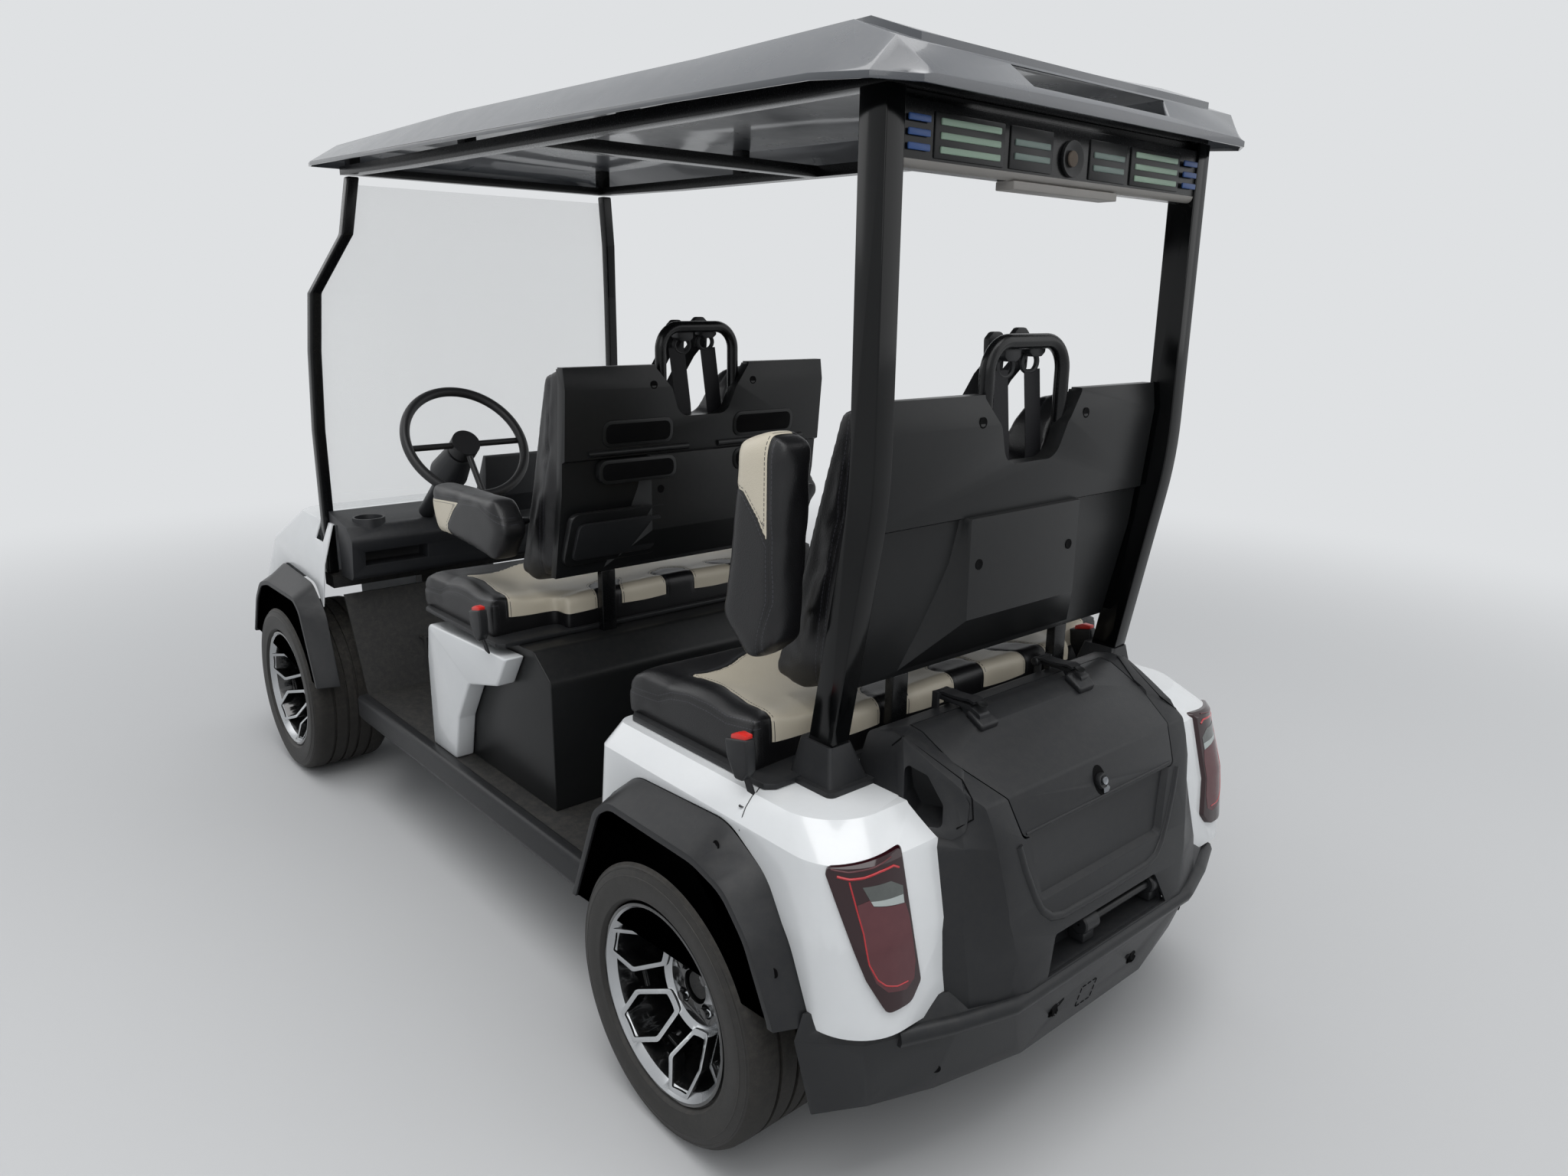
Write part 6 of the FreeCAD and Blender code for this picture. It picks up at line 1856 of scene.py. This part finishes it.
    def tyre(self) -> Piece:
        """Tyre with sidewall ridges, four grooves, shoulder slots and sipes.

        Returns:
            The rear left tyre.
        """
        half = [(self.centre_y + y, r) for y, r in self.section]
        other = [(self.centre_y - y, r) for y, r in reversed(self.section)]
        points = [(X_REAR, y, WHEEL_Z + r) for y, r in half + other]
        obj = chain("tyre_master", points)
        pitch = math.tau / self.pitches
        centre = (X_REAR, self.centre_y, WHEEL_Z)

        def one_pitch() -> None:
            """Turns the section through one pitch, station by station."""
            before = 0.0
            for station in self.stations:
                bpy.ops.mesh.spin(steps=1, angle=(station - before) * pitch, center=centre, axis=(0, 1, 0))
                before = station

        def all_round() -> None:
            """Repeats the pitch round the wheel."""
            bpy.ops.mesh.spin(steps=self.pitches - 1, angle=math.tau - pitch, dupli=True, center=centre,
                              axis=(0, 1, 0))
            face_outwards(0.00002)

        edit(obj, one_pitch)
        edit(obj, all_round)
        edit(obj, self.sink, lambda middle, normal: self.sunk(middle, pitch))
        for vertex in obj.data.vertices:
            self.swirl(vertex)
        smooth(obj, 28.0)
        dress(obj, TYRE_RUBBER)
        paint_faces(obj, TREAD_RUBBER, lambda middle, normal: self.radius_of(middle) > self.road_radius)
        return obj

    def radius_of(self, point: Vector) -> float:
        """Distance of a point from the wheel's axis."""
        return math.hypot(point.x - X_REAR, point.z - WHEEL_Z)

    def sunk(self, middle: Vector, pitch: float) -> bool:
        """True for faces of grooves, slots and sipes.

        Args:
            middle: Middle of the face.
            pitch: Angle of one pitch.

        Returns:
            True where the face is pushed in.
        """
        y = abs(middle.y - self.centre_y)
        if self.radius_of(middle) < self.tread_radius:
            return False
        if any(low < y < high for low, high in self.grooves):
            return True
        share = (math.atan2(middle.x - X_REAR, middle.z - WHEEL_Z) / pitch) % 1.0
        slot = share < self.stations[0]
        sipe = (self.stations[1] < share < self.stations[2]) or (self.stations[3] < share < self.stations[4])
        if y > self.grooves[1][1]:
            return slot or (sipe and self.shoulder_sipe[0] < y < self.shoulder_sipe[1])
        return sipe or (slot and self.rib_slot[0] < y < self.rib_slot[1])

    def sink(self) -> None:
        """Pushes the chosen faces in by the tread's depth."""
        bpy.ops.mesh.extrude_region_move()
        bpy.ops.transform.shrink_fatten(value=-self.tread_depth)

    def swirl(self, vertex: bpy.types.MeshVertex) -> None:
        """Sweeps the slots back a little towards the shoulders."""
        y = vertex.co.y - self.centre_y
        if self.radius_of(vertex.co) < self.swirl_radius:
            return
        turn = 0.03 * max(0.0, (abs(y) - 0.03) / 0.09) ** 2 + 0.1 * y
        x, z = vertex.co.x - X_REAR, vertex.co.z - WHEEL_Z
        vertex.co.x = X_REAR + x * math.cos(turn) + z * math.sin(turn)
        vertex.co.z = WHEEL_Z - x * math.sin(turn) + z * math.cos(turn)


@dataclass
class Studio:
    """Pale floor, soft lamps and the camera at the photograph's angle."""

    focal_px: float = 1402.34
    image_width_px: float = 2048.0
    sensor_mm: float = 36.0
    camera_place: Point = (-2.4995, 1.6501, 1.5605)
    yaw: float = 0.7178
    pitch: float = 0.2626
    roll: float = 0.012
    floor_half: float = 60.0
    floor_colour: str = "cfd0d1"
    # distances from the middle between which the floor fades into the background
    fade: Flat = (1.9, 6.5)
    background: str = "dfe1e3"
    sky_colour: str = "e9edf2"
    sky_strength: float = 0.32

    def camera(self) -> None:
        """Creates the camera that stands where the photograph was taken."""
        ahead = Vector((math.cos(self.yaw) * math.cos(self.pitch),
                        -math.sin(self.yaw) * math.cos(self.pitch), -math.sin(self.pitch)))
        right = Vector((-math.sin(self.yaw), -math.cos(self.yaw), 0.0))
        above = right.cross(ahead)
        across = right * math.cos(self.roll) + above * math.sin(self.roll)
        upward = across.cross(ahead)
        data = bpy.data.cameras.new("camera")
        data.sensor_width = self.sensor_mm
        data.sensor_fit = "HORIZONTAL"
        data.lens = self.sensor_mm * self.focal_px / self.image_width_px
        camera = new_object("camera", data)
        turn = Matrix((across, upward, -ahead)).transposed().to_4x4()
        camera.matrix_world = Matrix.Translation(self.camera_place) @ turn
        bpy.context.scene.camera = camera

    def floor(self) -> None:
        """Lays the plain pale floor."""
        bpy.ops.object.select_all(action="DESELECT")
        bpy.ops.mesh.primitive_plane_add(size=self.floor_half * 2, location=(0, 0, 0))
        plane = bpy.context.object
        plane.name = "studio_floor"
        plane.data.materials.append(self.floor_paint())

    def floor_paint(self) -> bpy.types.Material:
        """Plain pale paint that runs into the background's colour far from the cart.

        Returns:
            The floor's material.
        """
        material = bare_material("studio_floor_paint")
        tree = material.node_tree
        coords = add_node(tree, "TexCoord").outputs["Object"]
        far = add_node(tree, "VectorMath", {"operation": "LENGTH"}, {0: coords})
        fade = add_node(tree, "MapRange", {"interpolation_type": "SMOOTHSTEP"}, {
            "Value": far.outputs["Value"], "From Min": self.fade[0], "From Max": self.fade[1], "To Min": 0.0,
            "To Max": 1.0})
        share = add_node(tree, "Math", {"operation": "MULTIPLY"}, {
            0: fade.outputs["Result"], 1: self.seen_directly(tree)})
        paint = add_node(tree, "BsdfPrincipled", {}, {
            "Base Color": linear(self.floor_colour), "Roughness": 0.85, "Specular IOR Level": 0.2})
        glow = add_node(tree, "Emission", {}, {"Color": linear(self.background), "Strength": 1.0})
        mix = add_node(tree, "MixShader", {}, {
            0: share.outputs[0], 1: paint.outputs[0], 2: glow.outputs[0]})
        add_node(tree, "OutputMaterial", {}, {"Surface": mix.outputs[0]})
        return material

    def seen_directly(self, tree: Tree) -> Socket:
        """One for what the camera sees, also in a mirror or through glass."""
        rays = add_node(tree, "LightPath")
        through = add_node(tree, "Math", {"operation": "MAXIMUM"}, {
            0: rays.outputs["Is Camera Ray"], 1: rays.outputs["Is Transmission Ray"]})
        return add_node(tree, "Math", {"operation": "MAXIMUM"}, {
            0: through.outputs[0], 1: rays.outputs["Is Glossy Ray"]}).outputs[0]

    def lamps(self) -> None:
        """Hangs a large soft lamp over the cart and three round it."""
        for name, place, aim, size, watts in (
                ("sky_lamp", (-1.2, 0.4, 5.6), (-0.3, 0, 0.8), 5.0, 230.0),
                ("key_lamp", (-4.0, 3.6, 4.2), (0, 0, 0.8), 4.0, 70.0),
                ("fill_lamp", (-4.5, -3.0, 3.2), (-0.5, 0, 0.8), 4.0, 35.0),
                ("front_lamp", (4.5, 2.5, 4.2), (0.5, 0, 0.8), 4.0, 60.0)):
            data = bpy.data.lights.new(name, "AREA")
            data.size = size
            data.energy = watts
            lamp = new_object(name, data)
            way = Vector(aim) - Vector(place)
            lamp.matrix_world = Matrix.Translation(place) @ way.to_track_quat("-Z", "Y").to_matrix().to_4x4()

    def world(self) -> None:
        """Soft sky: a plain level for the light, a pale ground for what is seen or mirrored."""
        world = bpy.data.worlds.new("studio_world")
        bpy.context.scene.world = world
        world.use_nodes = True
        tree = world.node_tree
        tree.nodes.clear()
        pale = add_node(tree, "Background", {}, {"Color": linear(self.background), "Strength": 1.0})
        soft = add_node(tree, "Background", {}, {
            "Color": linear(self.sky_colour), "Strength": self.sky_strength})
        mix = add_node(tree, "MixShader", {}, {
            0: self.seen_directly(tree), 1: soft.outputs[0], 2: pale.outputs[0]})
        add_node(tree, "OutputWorld", {}, {"Surface": mix.outputs[0]})

    def build(self) -> None:
        """Sets up the whole studio."""
        bpy.context.scene.view_settings.view_transform = "Standard"
        self.camera()
        self.floor()
        self.lamps()
        self.world()


def main() -> None:
    """Builds the studio and every sub-assembly in order."""
    logging.basicConfig(level=logging.INFO, format="%(message)s")
    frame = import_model()
    slots = {row["node"]: row["material_slot"] for row in frame["record"]["subparts"]}
    cart = Cart(frame["nodes"], slots)
    Studio().build()
    for assembly in (BodyPanels, Benches, Belts, Wheels, TailLamps, TrunkFittings, Trim, LightBar):
        log.info("building %s", assembly.__name__)
        assembly(cart).build()


if __name__ == "__main__":
    main()
